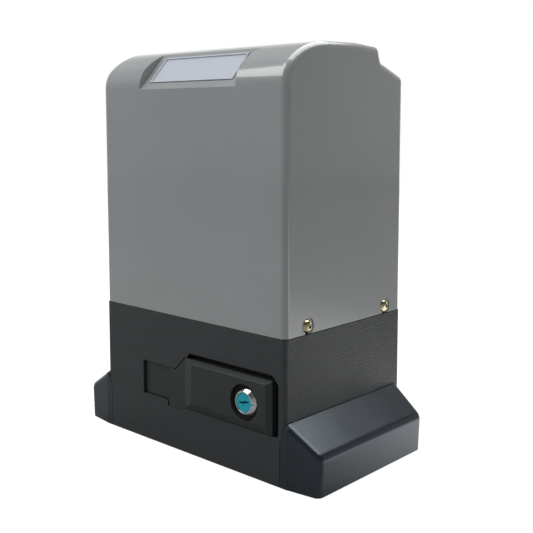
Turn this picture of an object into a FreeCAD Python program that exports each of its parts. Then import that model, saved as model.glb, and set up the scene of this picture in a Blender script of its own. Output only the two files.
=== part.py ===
"""Sliding gate motor: a parametric FreeCAD document, one object per physical piece.

Frame: millimetres, +Z up, origin on the underside of the base plate at the centre of
the four anchor slots. -Y is the front with the release lever, +Y the gate side with
the pinion. Driving dimensions live in the sheet "Sizes"; every piece reads them.
"""
import FreeCAD, Part
import math
import os

import Sketcher
from FreeCAD import Placement, Rotation, Vector

DRIVING = {
    # Housing and cover envelope
    "body_width": 210, "body_depth": 148, "seam_height": 112, "body_corner": 4,
    "wall": 4, "floor_thick": 12, "ear_thick": 5, "cover_wall": 3, "cover_corner": 5.5, "fit_gap": 0.4,
    "seam_gap": 0.5,
    # Cover side profile, heights above the seam
    "shoulder_height": 186, "shoulder_radius": 21.7, "brow_radius": 65.7, "brow_turn": 50,
    "ridge_rise": 1, "ridge_run": 36, "crown_run": 27.5, "step_run": 4, "step_drop": 11.5,
    "crown_round": 4, "ledge_corner": 6, "back_height": 194.5, "crown_fall": 1.7,
    # Bare label field on the brow of the cover
    "field_width": 111, "field_low": 184.5, "field_rise": 31.5, "field_run": 29,
    "panel_width": 95, "panel_length": 28, "panel_thick": 0.8, "panel_rim": 1.4, "rim_height": 0.6,
    # Cover screws
    "screw_front": 26, "screw_rear": 125, "screw_lift": 6.4, "screw_shank": 4,
    "screw_head": 10.4, "screw_dome": 3.2, "seat_width": 13.4, "seat_depth": 0.9,
    # Base flanges and anchor slots
    "flange_reach": 27, "flange_thick": 10, "flange_front": 62, "flange_rear": 52,
    "slot_spacing_across": 235, "slot_spacing_deep": 90, "slot_width": 10, "slot_length": 19,
    "level_screw": 8, "level_spacing": 46,
    # Foot covers
    "foot_reach": 31, "foot_top": 49.5, "foot_slope": 32, "foot_depth": 143,
    "foot_taper_front": 4, "foot_taper_rear": 7, "foot_wall": 2.5, "foot_round": 8.5,
    "foot_wrap": 5, "foot_wrap_top": 30, "foot_draft": 1.5, "foot_edge": 5,
    # Drive train
    "output_x": -46, "output_z": 56, "wheel_y": 4, "gear_module": 2.5, "wheel_teeth": 30,
    "worm_pitch_radius": 15, "wheel_face": 20, "backlash": 0.5, "chamber_gap": 4,
    "pinion_module": 4, "pinion_teeth": 16, "pinion_face": 30, "pinion_gap": 4,
    "shaft_radius": 12.5, "shaft_nose": 8.5, "running_gap": 0.05, "web_thick": 12,
    # Clutch between worm wheel and output shaft
    "clutch_travel": 6, "spring_wide": 3.2, "spring_thick": 2.2, "jaw_height": 4.5, "dog_thick": 11,
    "dog_radius": 22, "jaw_count": 4,
    # Motor
    "core_radius": 52, "core_height": 60, "core_bore": 31, "air_gap": 0.5, "bell_height": 26,
    # Release lever, lock and finger pocket on the front
    "front_wall": 14, "lever_left": -23, "lever_right": 92.5, "lever_low": 37.5,
    "lever_high": 79.5, "lever_proud": 4, "lever_recess": 6.5, "lever_gap": 0.5,
    "hinge_x": -46, "hinge_depth": 7.5, "hinge_pin": 2, "tongue_left": -55.3,
    "tongue_low": 39.5, "tongue_high": 67.7, "lock_x": 66.7, "lock_z": 58.5,
    "lock_bore": 14.3, "lock_bore_depth": 4.5, "bezel_base": 11.5, "bezel_rim": 8.6,
    "plug_radius": 7.6, "lever_swing": 90,
    # Electronics under the cover
    "board_width": 150, "board_height": 84, "board_thick": 1.6, "board_low": 232,
    "capacitor_radius": 20, "capacitor_height": 78,
    # Rear limit switch
    "limit_slot": 28, "limit_reach": 42, "limit_rod": 3,
}

os.makedirs("parts", exist_ok=True)
document = FreeCAD.newDocument("SlidingGateMotor")
sheet = document.addObject("Spreadsheet::Sheet", "Sizes")
for row, (alias, number) in enumerate(DRIVING.items(), 1):
    sheet.set(f"A{row}", alias)
    sheet.set(f"B{row}", str(number))
    sheet.setAlias(f"B{row}", alias)
document.recompute()

sub_parts = []


# ---------------------------------------------------------------- helpers
def value(expression):
    """Number that an expression over the sheet gives; plain words are sheet aliases."""
    return float(sheet.evalExpression(spell(expression)))


def spell(expression):
    """Turn plain alias words into references to the sheet."""
    text, word = "", ""
    for letter in str(expression) + " ":
        if letter.isalnum() or letter == "_":
            word += letter
            continue
        text += ("Sizes." + word) if word in DRIVING else word
        text += letter
        word = ""
    return text.strip()


def bind(thing, **expressions):
    """Bind properties of an object to sheet expressions."""
    for name, expression in expressions.items():
        thing.setExpression(name, spell(expression))


def keep(thing, label):
    """Register a document object as a finished sub-part named label."""
    thing.Label = label
    sub_parts.append(thing)
    return thing


def new_body(label):
    return keep(document.addObject("PartDesign::Body", label + "_body"), label)


def sketch_on(body, plane, offset="0"):
    """Empty sketch on an origin plane of the body, lifted along the plane's normal."""
    sketch = body.newObject("Sketcher::SketchObject", body.Name + "_sketch")
    support = [o for o in body.Origin.OriginFeatures if o.Role == plane + "_Plane"][0]
    sketch.AttachmentSupport = [(support, "")]
    sketch.MapMode = "FlatFace"
    sketch.setExpression("AttachmentOffset.Base.z", spell(offset))
    return sketch


def outline(sketch, corners):
    """Closed outline. Each corner is (x, y) or (x, y, r), all expressions; r is the
    radius of the arc to the next corner, positive when the arc turns left of travel."""
    spots = [Vector(value(c[0]), value(c[1]), 0) for c in corners]
    count = len(corners)
    first = sketch.GeometryCount
    for i, corner in enumerate(corners):
        start, end = spots[i], spots[(i + 1) % count]
        if len(corner) == 2:
            sketch.addGeometry(Part.LineSegment(start, end))
            continue
        radius = value(corner[2])
        chord = end - start
        rise = math.sqrt(max(radius * radius - (chord.Length / 2) ** 2, 0))
        left = Vector(-chord.y, chord.x, 0).normalize() * math.copysign(1, radius)
        centre = (start + end) * 0.5 + left * rise
        middle = centre - left * abs(radius)
        sketch.addGeometry(Part.Arc(start, middle, end))
    for i, corner in enumerate(corners):
        here, after = first + i, first + (i + 1) % count
        end_point = closing_point(sketch, here, spots[(i + 1) % count])
        start_point = closing_point(sketch, after, spots[(i + 1) % count])
        sketch.addConstraint(Sketcher.Constraint("Coincident", here, end_point, after, start_point))
    for i, corner in enumerate(corners):
        here = first + i
        point = closing_point(sketch, here, spots[i])
        for kind, term, spot in (("DistanceX", corner[0], spots[i].x), ("DistanceY", corner[1], spots[i].y)):
            index = sketch.addConstraint(Sketcher.Constraint(kind, -1, 1, here, point, spot))
            sketch.setExpression(f"Constraints[{index}]", spell(term))
        run = (spots[(i + 1) % count] - spots[i]).Length
        if len(corner) == 3 and near(sketch.Geometry[here].Radius * 2, run):
            level = "Vertical" if near(spots[i].x, spots[(i + 1) % count].x) else "Horizontal"
            sketch.addConstraint(Sketcher.Constraint(level, here, point, here, 3))
        elif len(corner) == 3:
            radius = abs(value(corner[2]))
            index = sketch.addConstraint(Sketcher.Constraint("Radius", here, radius))
            sketch.setExpression(f"Constraints[{index}]", spell(f"abs({corner[2]})"))


def closing_point(sketch, index, spot):
    """1 or 2: which end of a sketch edge lies on the spot."""
    start = sketch.getPoint(index, 1)
    return 1 if (start - spot).Length < 1e-6 else 2


def circle(sketch, x, y, radius):
    """Circle bound by its centre and radius."""
    centre = Vector(value(x), value(y), 0)
    index = sketch.addGeometry(Part.Circle(centre, Vector(0, 0, 1), value(radius)))
    for kind, term in (("DistanceX", x), ("DistanceY", y)):
        at = sketch.addConstraint(Sketcher.Constraint(kind, -1, 1, index, 3, value(term)))
        sketch.setExpression(f"Constraints[{at}]", spell(term))
    at = sketch.addConstraint(Sketcher.Constraint("Radius", index, value(radius)))
    sketch.setExpression(f"Constraints[{at}]", spell(radius))


def rectangle(sketch, left, low, right, high):
    outline(sketch, [(left, low), (right, low), (right, high), (left, high)])


def slot(sketch, x, y, length, width):
    """Slot along x: two straight sides and two round ends."""
    half = f"({length}) / 2 - ({width}) / 2"
    radius = f"({width}) / 2"
    low, high = f"({y}) - {radius}", f"({y}) + {radius}"
    left, right = f"({x}) - ({half})", f"({x}) + ({half})"
    outline(sketch, [(left, low), (right, low, radius), (right, high), (left, high, radius)])


def feature(body, kind, sketch, **settings):
    """Add a sketch-based feature; an expression string binds, anything else is set."""
    before = body.Shape.Volume if body.Shape and not body.Shape.isNull() else 0.0
    made = body.newObject("PartDesign::" + kind, body.Name + "_" + kind.lower())
    made.Profile = sketch
    for name, setting in settings.items():
        if isinstance(setting, str) and name in ("Length", "Length2", "Angle", "Pitch", "Height"):
            made.setExpression(name, spell(setting))
        else:
            setattr(made, name, setting)
    sketch.Visibility = False
    document.recompute()
    after = body.Shape.Volume
    grows = kind in ("Pad", "Revolution", "AdditiveHelix", "AdditivePipe", "AdditiveLoft")
    if (after - before) * (1 if grows else -1) < 1e-4:
        raise RuntimeError(f"{made.Name} changed the volume from {before:.3f} to {after:.3f}")
    return made


def pad(body, sketch, length, **settings):
    return feature(body, "Pad", sketch, Length=length, **settings)


def pocket(body, sketch, length, **settings):
    return feature(body, "Pocket", sketch, Length=length, **settings)


def revolve(body, sketch, axis="V_Axis"):
    return feature(body, "Revolution", sketch, ReferenceAxis=(sketch, [axis]), Angle="360")


def dress(body, kind, size, chosen, property_name=None):
    """Fillet or chamfer on the edges of the body's tip for which chosen(edge) is true."""
    tip = body.Tip
    names = [f"Edge{i}" for i, edge in enumerate(tip.Shape.Edges, 1) if chosen(edge)]
    if not names:
        raise RuntimeError(f"no edge to {kind.lower()} on {body.Name}")
    made = body.newObject("PartDesign::" + kind, body.Name + "_" + kind.lower())
    made.Base = (tip, names)
    made.setExpression(property_name or ("Radius" if kind == "Fillet" else "Size"), spell(size))
    document.recompute()
    return made


def repeat(body, source, kind, **settings):
    """Pattern or mirror of one feature, made the body's tip."""
    made = body.newObject("PartDesign::" + kind, body.Name + "_" + kind.lower())
    made.Originals = source if isinstance(source, list) else [source]
    for name, setting in settings.items():
        setattr(made, name, setting)
    body.Tip = made
    document.recompute()
    return made


def near(a, b, tolerance=0.02):
    return abs(a - b) < tolerance


def spans(edge, **limits):
    """True if the edge's box lies at the given x, y or z values (within 0.02 mm)."""
    box = edge.BoundBox
    for name, wanted in limits.items():
        low, high = {"x": (box.XMin, box.XMax), "y": (box.YMin, box.YMax),
                     "z": (box.ZMin, box.ZMax)}[name]
        if not (near(low, wanted) and near(high, wanted)):
            return False
    return True


def solid_box(label, low, high):
    """Part::Box from two corners of expressions."""
    made = document.addObject("Part::Box", label)
    for name, a, b in zip(("Length", "Width", "Height"), low, high):
        made.setExpression(name, spell(f"({b}) - ({a})"))
    for name, a in zip("xyz", low):
        made.setExpression("Placement.Base." + name, spell(a))
    return made


def rod(label, centre, radius, length, axis="z"):
    """Part::Cylinder from its start, bound to expressions, along +x, +y or +z."""
    made = document.addObject("Part::Cylinder", label)
    made.setExpression("Radius", spell(radius))
    made.setExpression("Height", spell(length))
    turns = {"x": Rotation(Vector(0, 1, 0), 90), "y": Rotation(Vector(1, 0, 0), -90),
             "z": Rotation()}
    made.Placement = Placement(Vector(), turns[axis])
    for name, a in zip("xyz", centre):
        made.setExpression("Placement.Base." + name, spell(a))
    return made


def cut(label, base, tools):
    """Part::Cut of one base and one or more tools."""
    tool = tools[0] if len(tools) == 1 else fuse(label + "_tools", tools)
    made = document.addObject("Part::Cut", label + "_cut")
    made.Base, made.Tool = base, tool
    return made


def fuse(label, shapes):
    made = document.addObject("Part::MultiFuse", label + "_fuse")
    made.Shapes = shapes
    return made


def group(label, shapes):
    """Separate solids that share one node."""
    made = document.addObject("Part::Compound", label + "_group")
    made.Links = shapes
    return keep(made, label)


def formed(label, shape):
    """A piece whose form needs Part's own functions."""
    made = document.addObject("Part::Feature", label + "_form")
    made.Shape = shape
    return keep(made, label)


def ring(label, x, y, z, axis, inner, outer, length):
    """Plain ring (bearing, seal, washer) that starts at a point and runs along an axis."""
    outside = rod(label + "_outside", (x, y, z), outer, length, axis)
    inside = rod(label + "_inside", (x, y, z), inner, length, axis)
    return keep(cut(label, outside, [inside]), label)


# ---------------------------------------------------------------- shared places
RIGHT = "(body_width / 2)"
FRONT = "(-body_depth / 2)"
BACK = "(body_depth / 2)"
DECK = "(seam_height - 12)"                      # rim of the gear chamber
REAR_WALL = "(2 * wall)"
CENTRES = "(gear_module * wheel_teeth / 2 + worm_pitch_radius)"
WORM_X = f"(output_x + {CENTRES})"
WHEEL_TIP = "(gear_module * wheel_teeth / 2 + gear_module)"
WORM_TIP = "(worm_pitch_radius + gear_module)"
CHAMBER_LEFT = f"(output_x - {WHEEL_TIP} - chamber_gap)"
CHAMBER_RIGHT = f"({WORM_X} + {WORM_TIP} + chamber_gap)"
WEB_REAR = "(wheel_y - wheel_face / 2 - 18)"
WEB_FRONT = f"({WEB_REAR} - web_thick)"
HINGE_Y = f"({FRONT} + hinge_depth)"
RECESS_Y = f"({FRONT} + lever_recess)"
BAY_Y = f"({FRONT} + front_wall)"
PILOT_RADIUS = f"({WHEEL_TIP} + 3)"              # rear bore that lets the worm wheel pass
COVER_BOLT_CIRCLE = f"({PILOT_RADIUS} + 6)"
DIAGONAL = "0.70710678"                          # cosine of 45 degrees
BEARING_SMALL = {"bore": "8.5", "outer": "17.5", "width": "10"}
BEARING_LARGE = {"bore": "12.5", "outer": "26", "width": "15"}
RIM_GAP = "(running_gap / 2)"
FLANGE_TOP = f"({DECK} + 8)"                     # top of the plate that closes the chamber
PLATE_SCREWS = [(f"{CHAMBER_LEFT} - 3", f"{WEB_REAR} - 2"),
                (f"{CHAMBER_LEFT} - 3", f"{BACK} - {REAR_WALL} - 30"),
                (f"{CHAMBER_RIGHT} + 2.8", f"{BACK} - {REAR_WALL} - 8")]
OIL_PLUG = (f"{CHAMBER_LEFT} + 8", f"{WEB_REAR} + 8")
LIMIT_Z = f"({FLANGE_TOP} + 8.5)"                # height of the limit switch's spring arm


def build_housing():
    """Cast base: deck, gear chamber, wiring bay, anchor flanges, lever recess, bores."""
    body = new_body("gearbox_housing")
    block = sketch_on(body, "XY")
    rectangle(block, "-" + RIGHT, FRONT, RIGHT, BACK)
    pad(body, block, "seam_height")
    half_x, half_y = value(RIGHT), value(BACK)
    dress(body, "Fillet", "body_corner", lambda e: near(abs(e.CenterOfMass.x), half_x)
          and near(abs(e.CenterOfMass.y), half_y) and e.Length > half_y / 2)

    flange = sketch_on(body, "XY")
    reach = f"({RIGHT} + flange_reach)"
    rectangle(flange, "-" + reach, "-flange_front", reach, "flange_rear")
    pad(body, flange, "flange_thick")
    slots = sketch_on(body, "XY", "flange_thick")
    for x in ("-slot_spacing_across / 2", "slot_spacing_across / 2"):
        for y in ("-slot_spacing_deep / 2", "slot_spacing_deep / 2"):
            slot(slots, x, y, "slot_length", "slot_width")
        for y in ("-level_spacing / 2", "level_spacing / 2"):
            circle(slots, x, y, "level_screw / 2")
    pocket(body, slots, "flange_thick")

    lip = sketch_on(body, "XY", "seam_height")
    inset = "(cover_wall + fit_gap)"
    rectangle(lip, f"-{RIGHT} + {inset}", f"{FRONT} + {inset}", f"{RIGHT} - {inset}", f"{BACK} - {inset}")
    pad(body, lip, "wall")
    lip_x, lip_y, seam = value(f"{RIGHT} - {inset}"), value(f"{BACK} - {inset}"), value("seam_height")
    dress(body, "Fillet", "cover_corner - cover_wall + fit_gap", lambda e: near(abs(e.CenterOfMass.x), lip_x)
          and near(abs(e.CenterOfMass.y), lip_y) and e.CenterOfMass.z > seam + 0.5
          and e.BoundBox.ZMin > seam - 0.5)
    ears = sketch_on(body, "XY", "seam_height")
    for side in ("-1", "1"):
        for y in ("screw_front", "screw_rear"):
            middle = f"({FRONT} + {y})"
            near_x, far_x = f"{side} * ({RIGHT} - {inset} - ear_thick)", f"{side} * ({RIGHT} - {inset})"
            left, right = (near_x, far_x) if side == "1" else (far_x, near_x)
            rectangle(ears, left, f"{middle} - 8", right, f"{middle} + 8")
    pad(body, ears, "2 * screw_lift + 3")

    for side in (-1, 1):
        threads = sketch_on(body, "YZ", f"{side} * {RIGHT}")
        for y in ("screw_front", "screw_rear"):
            circle(threads, f"{FRONT} + {y}", "seam_height + screw_lift", "screw_shank / 2 + running_gap")
        pocket(body, threads, "12", Reversed=side < 0)
    deck = sketch_on(body, "XY", "seam_height + wall")
    inner_x, inner_y = f"({RIGHT} - {inset} - 2)", f"({BACK} - {inset} - 2)"
    left, right = f"(-{RIGHT} + {inset} + ear_thick)", f"({RIGHT} - {inset} - ear_thick)"
    low, high = f"({FRONT} + screw_front", f"({FRONT} + screw_rear"
    outline(deck, [
        ("-" + inner_x, "-" + inner_y), (inner_x, "-" + inner_y), (inner_x, low + " - 8)"),
        (right, low + " - 8)"), (right, low + " + 8)"), (inner_x, low + " + 8)"),
        (inner_x, high + " - 8)"), (right, high + " - 8)"), (right, high + " + 8)"),
        (inner_x, high + " + 8)"), (inner_x, inner_y), ("-" + inner_x, inner_y),
        ("-" + inner_x, high + " + 8)"), (left, high + " + 8)"), (left, high + " - 8)"),
        ("-" + inner_x, high + " - 8)"), ("-" + inner_x, low + " + 8)"), (left, low + " + 8)"),
        (left, low + " - 8)"), ("-" + inner_x, low + " - 8)")])
    pocket(body, deck, f"seam_height + wall - {DECK}")

    notch = sketch_on(body, "XY", "seam_height + wall")
    rectangle(notch, "output_x - limit_slot / 2", f"{BACK} - 3 * wall",
              "output_x + limit_slot / 2", f"{BACK} + 1")
    pocket(body, notch, "wall")
    chamber = sketch_on(body, "XY", DECK)
    rectangle(chamber, CHAMBER_LEFT, WEB_REAR, CHAMBER_RIGHT, f"{BACK} - {REAR_WALL}")
    pocket(body, chamber, f"{DECK} - floor_thick")
    threads = sketch_on(body, "XY", DECK)
    for x, y in PLATE_SCREWS:
        circle(threads, x, y, "2.1")
    pocket(body, threads, "8")
    bay = sketch_on(body, "XY", DECK)
    bay_left, bay_right = f"({CHAMBER_RIGHT} + 1.5 * wall)", f"({RIGHT} - wall - {inset})"
    outline(bay, [(CHAMBER_LEFT, BAY_Y), (bay_right, BAY_Y), (bay_right, f"{BACK} - {REAR_WALL}"),
                  (bay_left, f"{BACK} - {REAR_WALL}"), (bay_left, WEB_FRONT), (CHAMBER_LEFT, WEB_FRONT)])
    pocket(body, bay, f"{DECK} - floor_thick")
    entry = sketch_on(body, "XY", "floor_thick")
    rectangle(entry, f"{bay_left} + 8", "-22", f"{bay_right} - 8", "38")
    pocket(body, entry, "floor_thick")

    pilot = sketch_on(body, "XZ", "-" + BACK)
    circle(pilot, "output_x", "output_z", PILOT_RADIUS)
    pocket(body, pilot, REAR_WALL, Reversed=True)
    bolts = sketch_on(body, "XZ", "-" + BACK)
    for across in ("-1", "1"):
        for up in ("-1", "1"):
            circle(bolts, f"output_x + {across} * {DIAGONAL} * {COVER_BOLT_CIRCLE}",
                   f"output_z + {up} * {DIAGONAL} * {COVER_BOLT_CIRCLE}", "2.6")
    pocket(body, bolts, REAR_WALL, Reversed=True)
    nose = sketch_on(body, "XZ", "-" + WEB_REAR)
    circle(nose, "output_x", "output_z", f"{BEARING_SMALL['outer']} + {RIM_GAP}")
    pocket(body, nose, BEARING_SMALL["width"], Reversed=True)
    through = sketch_on(body, "XZ", "-" + WEB_REAR)
    circle(through, "output_x", "output_z", "shaft_nose + 2")
    pocket(body, through, "web_thick", Reversed=True)
    seat = sketch_on(body, "XY", "floor_thick")
    circle(seat, WORM_X, "wheel_y", f"{BEARING_SMALL['outer']} + {RIM_GAP}")
    pocket(body, seat, "floor_thick - 5")

    cut_front(body)
    return body


def flap_outline(side, gap, over):
    """Front flap of a foot cover that laps the housing's corner; its top edge curves."""
    inner = f"({RIGHT} - foot_wrap - {gap})"
    outer = f"({RIGHT} + {over})"
    corners = [(inner, "0"), (outer, "0"), (outer, f"foot_top - 3 + {gap}"),
               (f"{RIGHT} - 0.5", f"foot_top - 3 + {gap}", "34"), (inner, f"foot_wrap_top + {gap}")]
    if side > 0:
        return corners
    mirrored = [(f"-{inner}", "0"), (f"-{inner}", f"foot_wrap_top + {gap}", "34"),
                (f"-{RIGHT} + 0.5", f"foot_top - 3 + {gap}"),
                (f"-{outer}", f"foot_top - 3 + {gap}"), (f"-{outer}", "0")]
    return mirrored


def cut_front(body):
    """Recess for the lever, window of its hinge, finger pocket, latch hole, pin bore."""
    front_offset = "-" + FRONT
    finger = sketch_on(body, "XZ", front_offset)
    outline(finger, [("lever_left + 12", "tongue_high + fit_gap"),
                     ("lever_right - 24", "tongue_high + fit_gap"),
                     ("lever_right - 24", "lever_low - fit_gap"), ("lever_right + 6", "lever_low - fit_gap"),
                     ("lever_right + 6", "lever_high - 2"), ("lever_right", "lever_high + 4.5"),
                     ("lever_left + 25", "lever_high + 4.5")])
    pocket(body, finger, "lever_recess + 1.5")
    recess_depth = value(FRONT) + value("lever_recess + 1.5")
    dress(body, "Fillet", "4", lambda e: near(e.BoundBox.YMin, recess_depth)
          and near(e.BoundBox.YMax, recess_depth) and e.BoundBox.XMin > value("lever_left + 12.5")
          and e.CenterOfMass.z > value("lever_low + 1")
          and (e.CenterOfMass.z > value("lever_high - 5") or e.CenterOfMass.x > value("lever_right + 5")))

    recess = sketch_on(body, "XZ", front_offset)
    gap = "lever_gap"
    under, over = f"lever_low - {gap}", f"lever_high + {gap}"
    outline(recess, [("lever_left - 1.7", under + " - 2.5"), ("lever_left + 17", under + " - 2.5"),
                     ("lever_left + 19.5", under), (f"lever_right + {gap}", under),
                     (f"lever_right + {gap}", over), ("lever_left + 19.9", over),
                     ("lever_left + 7.7", f"tongue_high + {gap}"),
                     ("lever_left - 1.7", f"tongue_high + {gap}")])
    pocket(body, recess, "lever_recess")
    window = sketch_on(body, "XZ", front_offset)
    rectangle(window, f"tongue_left - {gap}", f"tongue_low - {gap}", "lever_left", f"tongue_high + {gap}")
    pocket(body, window, "front_wall")
    room = sketch_on(body, "XZ", f"{front_offset} - 2.5")
    rectangle(room, "tongue_left - 4", f"tongue_low - {gap}", "lever_left", f"tongue_high + {gap}")
    pocket(body, room, "front_wall - 2.5")
    latch = sketch_on(body, "XZ", "-" + RECESS_Y)
    circle(latch, "lock_x", "lock_z", "plug_radius + 3.4")
    pocket(body, latch, "front_wall - lever_recess + 1")
    keeper = sketch_on(body, "XZ", "-" + RECESS_Y)
    rectangle(keeper, "lock_x - 5", "lock_z - 17.5", "lock_x + 5", "lock_z")
    pocket(body, keeper, "front_wall - lever_recess + 1")
    bore = sketch_on(body, "XY", DECK)
    circle(bore, "hinge_x", HINGE_Y, f"hinge_pin + {RIM_GAP}")
    pocket(body, bore, f"{DECK} - tongue_low + 6")
    for side in (-1, 1):
        rebate = sketch_on(body, "XZ", front_offset)
        outline(rebate, flap_outline(side, "fit_gap", "1"))
        pocket(body, rebate, "foot_wall + fit_gap")


housing = build_housing()


# ---------------------------------------------------------------- cover
BROW = {
    "turn_y": f"({FRONT} + shoulder_radius * (1 - cos(brow_turn)))",
    "turn_z": "(seam_height + shoulder_height + shoulder_radius * sin(brow_turn))",
}
BROW["top_y"] = f"({BROW['turn_y']} + brow_radius * cos(brow_turn))"
BROW["top_z"] = f"({BROW['turn_z']} + brow_radius * (1 - sin(brow_turn)))"


def field_spot(along, inward):
    """Point (y, z) on the slanted label field: distance along it, and depth below it."""
    length = "sqrt(field_run ^ 2 + field_rise ^ 2)"
    y = f"{FRONT} + ({along}) * field_run / {length} + ({inward}) * field_rise / {length}"
    z = f"seam_height + field_low + ({along}) * field_rise / {length} - ({inward}) * field_run / {length}"
    return y, z


def build_cover():
    """Moulded cover: rounded brow, flat crown, stepped rear ledge, thin wall."""
    body = new_body("top_cover")
    profile = sketch_on(body, "YZ")
    crown_y = f"({BROW['top_y']} + ridge_run + crown_run)"
    crown_z = f"({BROW['top_z']} + ridge_rise - crown_fall)"
    step_y, step_z = f"({crown_y} + step_run)", f"({crown_z} - step_drop)"
    outline(profile, [
        (FRONT, "seam_height + seam_gap"),
        (FRONT, "seam_height + shoulder_height", "-shoulder_radius"),
        (BROW["turn_y"], BROW["turn_z"], "-brow_radius"),
        (BROW["top_y"], BROW["top_z"]),
        (f"{BROW['top_y']} + ridge_run", f"{BROW['top_z']} + ridge_rise"),
        (crown_y, crown_z), (step_y, step_z),
        (BACK, "seam_height + back_height"), (BACK, "seam_height + seam_gap")])
    pad(body, profile, "body_width", Midplane=True)
    corners = {"crown_round": (crown_y, crown_z), "ledge_corner": (BACK, "seam_height + back_height")}
    for size, (y, z) in corners.items():
        dress(body, "Fillet", size, lambda e: spans(e, y=value(y), z=value(z)))
    dress(body, "Fillet", "crown_round", lambda e: spans(e, y=value(step_y), z=value(step_z)))
    side, foot = value(RIGHT), value("seam_height + seam_gap")
    dress(body, "Fillet", "cover_corner", lambda e: near(abs(e.CenterOfMass.x), side)
          and near(abs(e.BoundBox.XMax - e.BoundBox.XMin), 0) and e.BoundBox.ZMax > foot + 1)
    hollow = sketch_on(body, "YZ")
    front_in, back_in = f"({FRONT} + cover_wall)", f"({BACK} - cover_wall)"
    outline(hollow, [
        (front_in, "seam_height"),
        (front_in, "seam_height + shoulder_height", "cover_wall - shoulder_radius"),
        (f"{BROW['turn_y']} + cover_wall * cos(brow_turn)", f"{BROW['turn_z']} - cover_wall * sin(brow_turn)",
         "cover_wall - brow_radius"),
        (BROW["top_y"], f"{BROW['top_z']} - cover_wall"),
        (f"{BROW['top_y']} + ridge_run", f"{BROW['top_z']} + ridge_rise - cover_wall"),
        (f"{crown_y} - 0.75 * cover_wall", f"{crown_z} - cover_wall"),
        (f"{step_y} - 0.75 * cover_wall", f"{step_z} - cover_wall"),
        (back_in, "seam_height + back_height - cover_wall"), (back_in, "seam_height")])
    pocket(body, hollow, "body_width - 2 * cover_wall", Midplane=True)
    inner_side = side - value("cover_wall")
    dress(body, "Fillet", "cover_corner - cover_wall", lambda e: near(abs(e.CenterOfMass.x), inner_side)
          and near(abs(e.BoundBox.XMax - e.BoundBox.XMin), 0) and e.BoundBox.ZMax > foot + 1)

    backing = sketch_on(body, "YZ")
    outline(backing, [
        field_spot("-1", "cover_wall"),
        (f"{FRONT} + 1", "seam_height + shoulder_height", "1 - shoulder_radius"),
        (f"{BROW['turn_y']} + cos(brow_turn)", f"{BROW['turn_z']} - sin(brow_turn)", "1 - brow_radius"),
        (BROW["top_y"], f"{BROW['top_z']} - 1"),
        field_spot("sqrt(field_run ^ 2 + field_rise ^ 2)", "cover_wall")])
    pad(body, backing, "field_width + 2 * cover_wall", Midplane=True)
    field = sketch_on(body, "YZ")
    outline(field, [(f"{FRONT} - 5", "seam_height + field_low - 5"),
                    (FRONT, "seam_height + field_low - 0.01"),
                    (f"{FRONT} + field_run", "seam_height + field_low + field_rise"),
                    (f"{FRONT} + field_run", f"{BROW['top_z']} + 8"),
                    (f"{FRONT} - 5", f"{BROW['top_z']} + 8")])
    pocket(body, field, "field_width", Midplane=True)
    seat = sketch_on(body, "YZ")
    along = "(sqrt(field_run ^ 2 + field_rise ^ 2) - panel_length - 2 * fit_gap) / 2"
    outline(seat, [field_spot(along, "-2"), field_spot(along, "panel_thick + 0.2"),
                   field_spot(f"{along} + panel_length + 2 * fit_gap", "panel_thick + 0.2"),
                   field_spot(f"{along} + panel_length + 2 * fit_gap", "-2")])
    pocket(body, seat, "panel_width + 2 * fit_gap", Midplane=True)

    for side in (-1, 1):
        seats = sketch_on(body, "YZ", f"{side} * ({RIGHT} - seat_depth)")
        holes = sketch_on(body, "YZ", f"{side} * {RIGHT}")
        notches = sketch_on(body, "YZ", f"{side} * {RIGHT}")
        for place in ("screw_front", "screw_rear"):
            spot = (f"{FRONT} + {place}", "seam_height + screw_lift")
            circle(seats, *spot, "seat_width / 2")
            circle(holes, *spot, "screw_shank / 2 + 0.3")
            rectangle(notches, f"{spot[0]} - 1.6", "seam_height",
                      f"{spot[0]} + 1.6", "seam_height + seam_gap + 1")
        outward, inward = side > 0, side < 0
        pocket(body, seats, "seat_depth + 1", Reversed=outward)
        pocket(body, holes, "cover_wall + 1", Reversed=inward)
        pocket(body, notches, "cover_wall + 1", Reversed=inward)

    gate_slot = sketch_on(body, "XZ", f"-({BACK} + 1)")
    rectangle(gate_slot, "output_x - limit_slot / 2", "seam_height",
              "output_x + limit_slot / 2", f"{LIMIT_Z} + 7")
    pocket(body, gate_slot, "2 * cover_wall", Reversed=True)

    panel = new_body("label_panel")
    plate = sketch_on(panel, "YZ")
    start = f"({along} + fit_gap)"
    outline(plate, [field_spot(start, "-rim_height"), field_spot(start, "panel_thick + 0.2"),
                    field_spot(f"{start} + panel_length", "panel_thick + 0.2"),
                    field_spot(f"{start} + panel_length", "-rim_height")])
    pad(panel, plate, "panel_width", Midplane=True)
    window = sketch_on(panel, "YZ")
    low, high = f"{start} + panel_rim", f"{start} + panel_length - panel_rim"
    outline(window, [field_spot(low, "-rim_height - 1"), field_spot(low, "0.2"),
                     field_spot(high, "0.2"), field_spot(high, "-rim_height - 1")])
    pocket(panel, window, "panel_width - 2 * panel_rim", Midplane=True)


build_cover()


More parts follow.
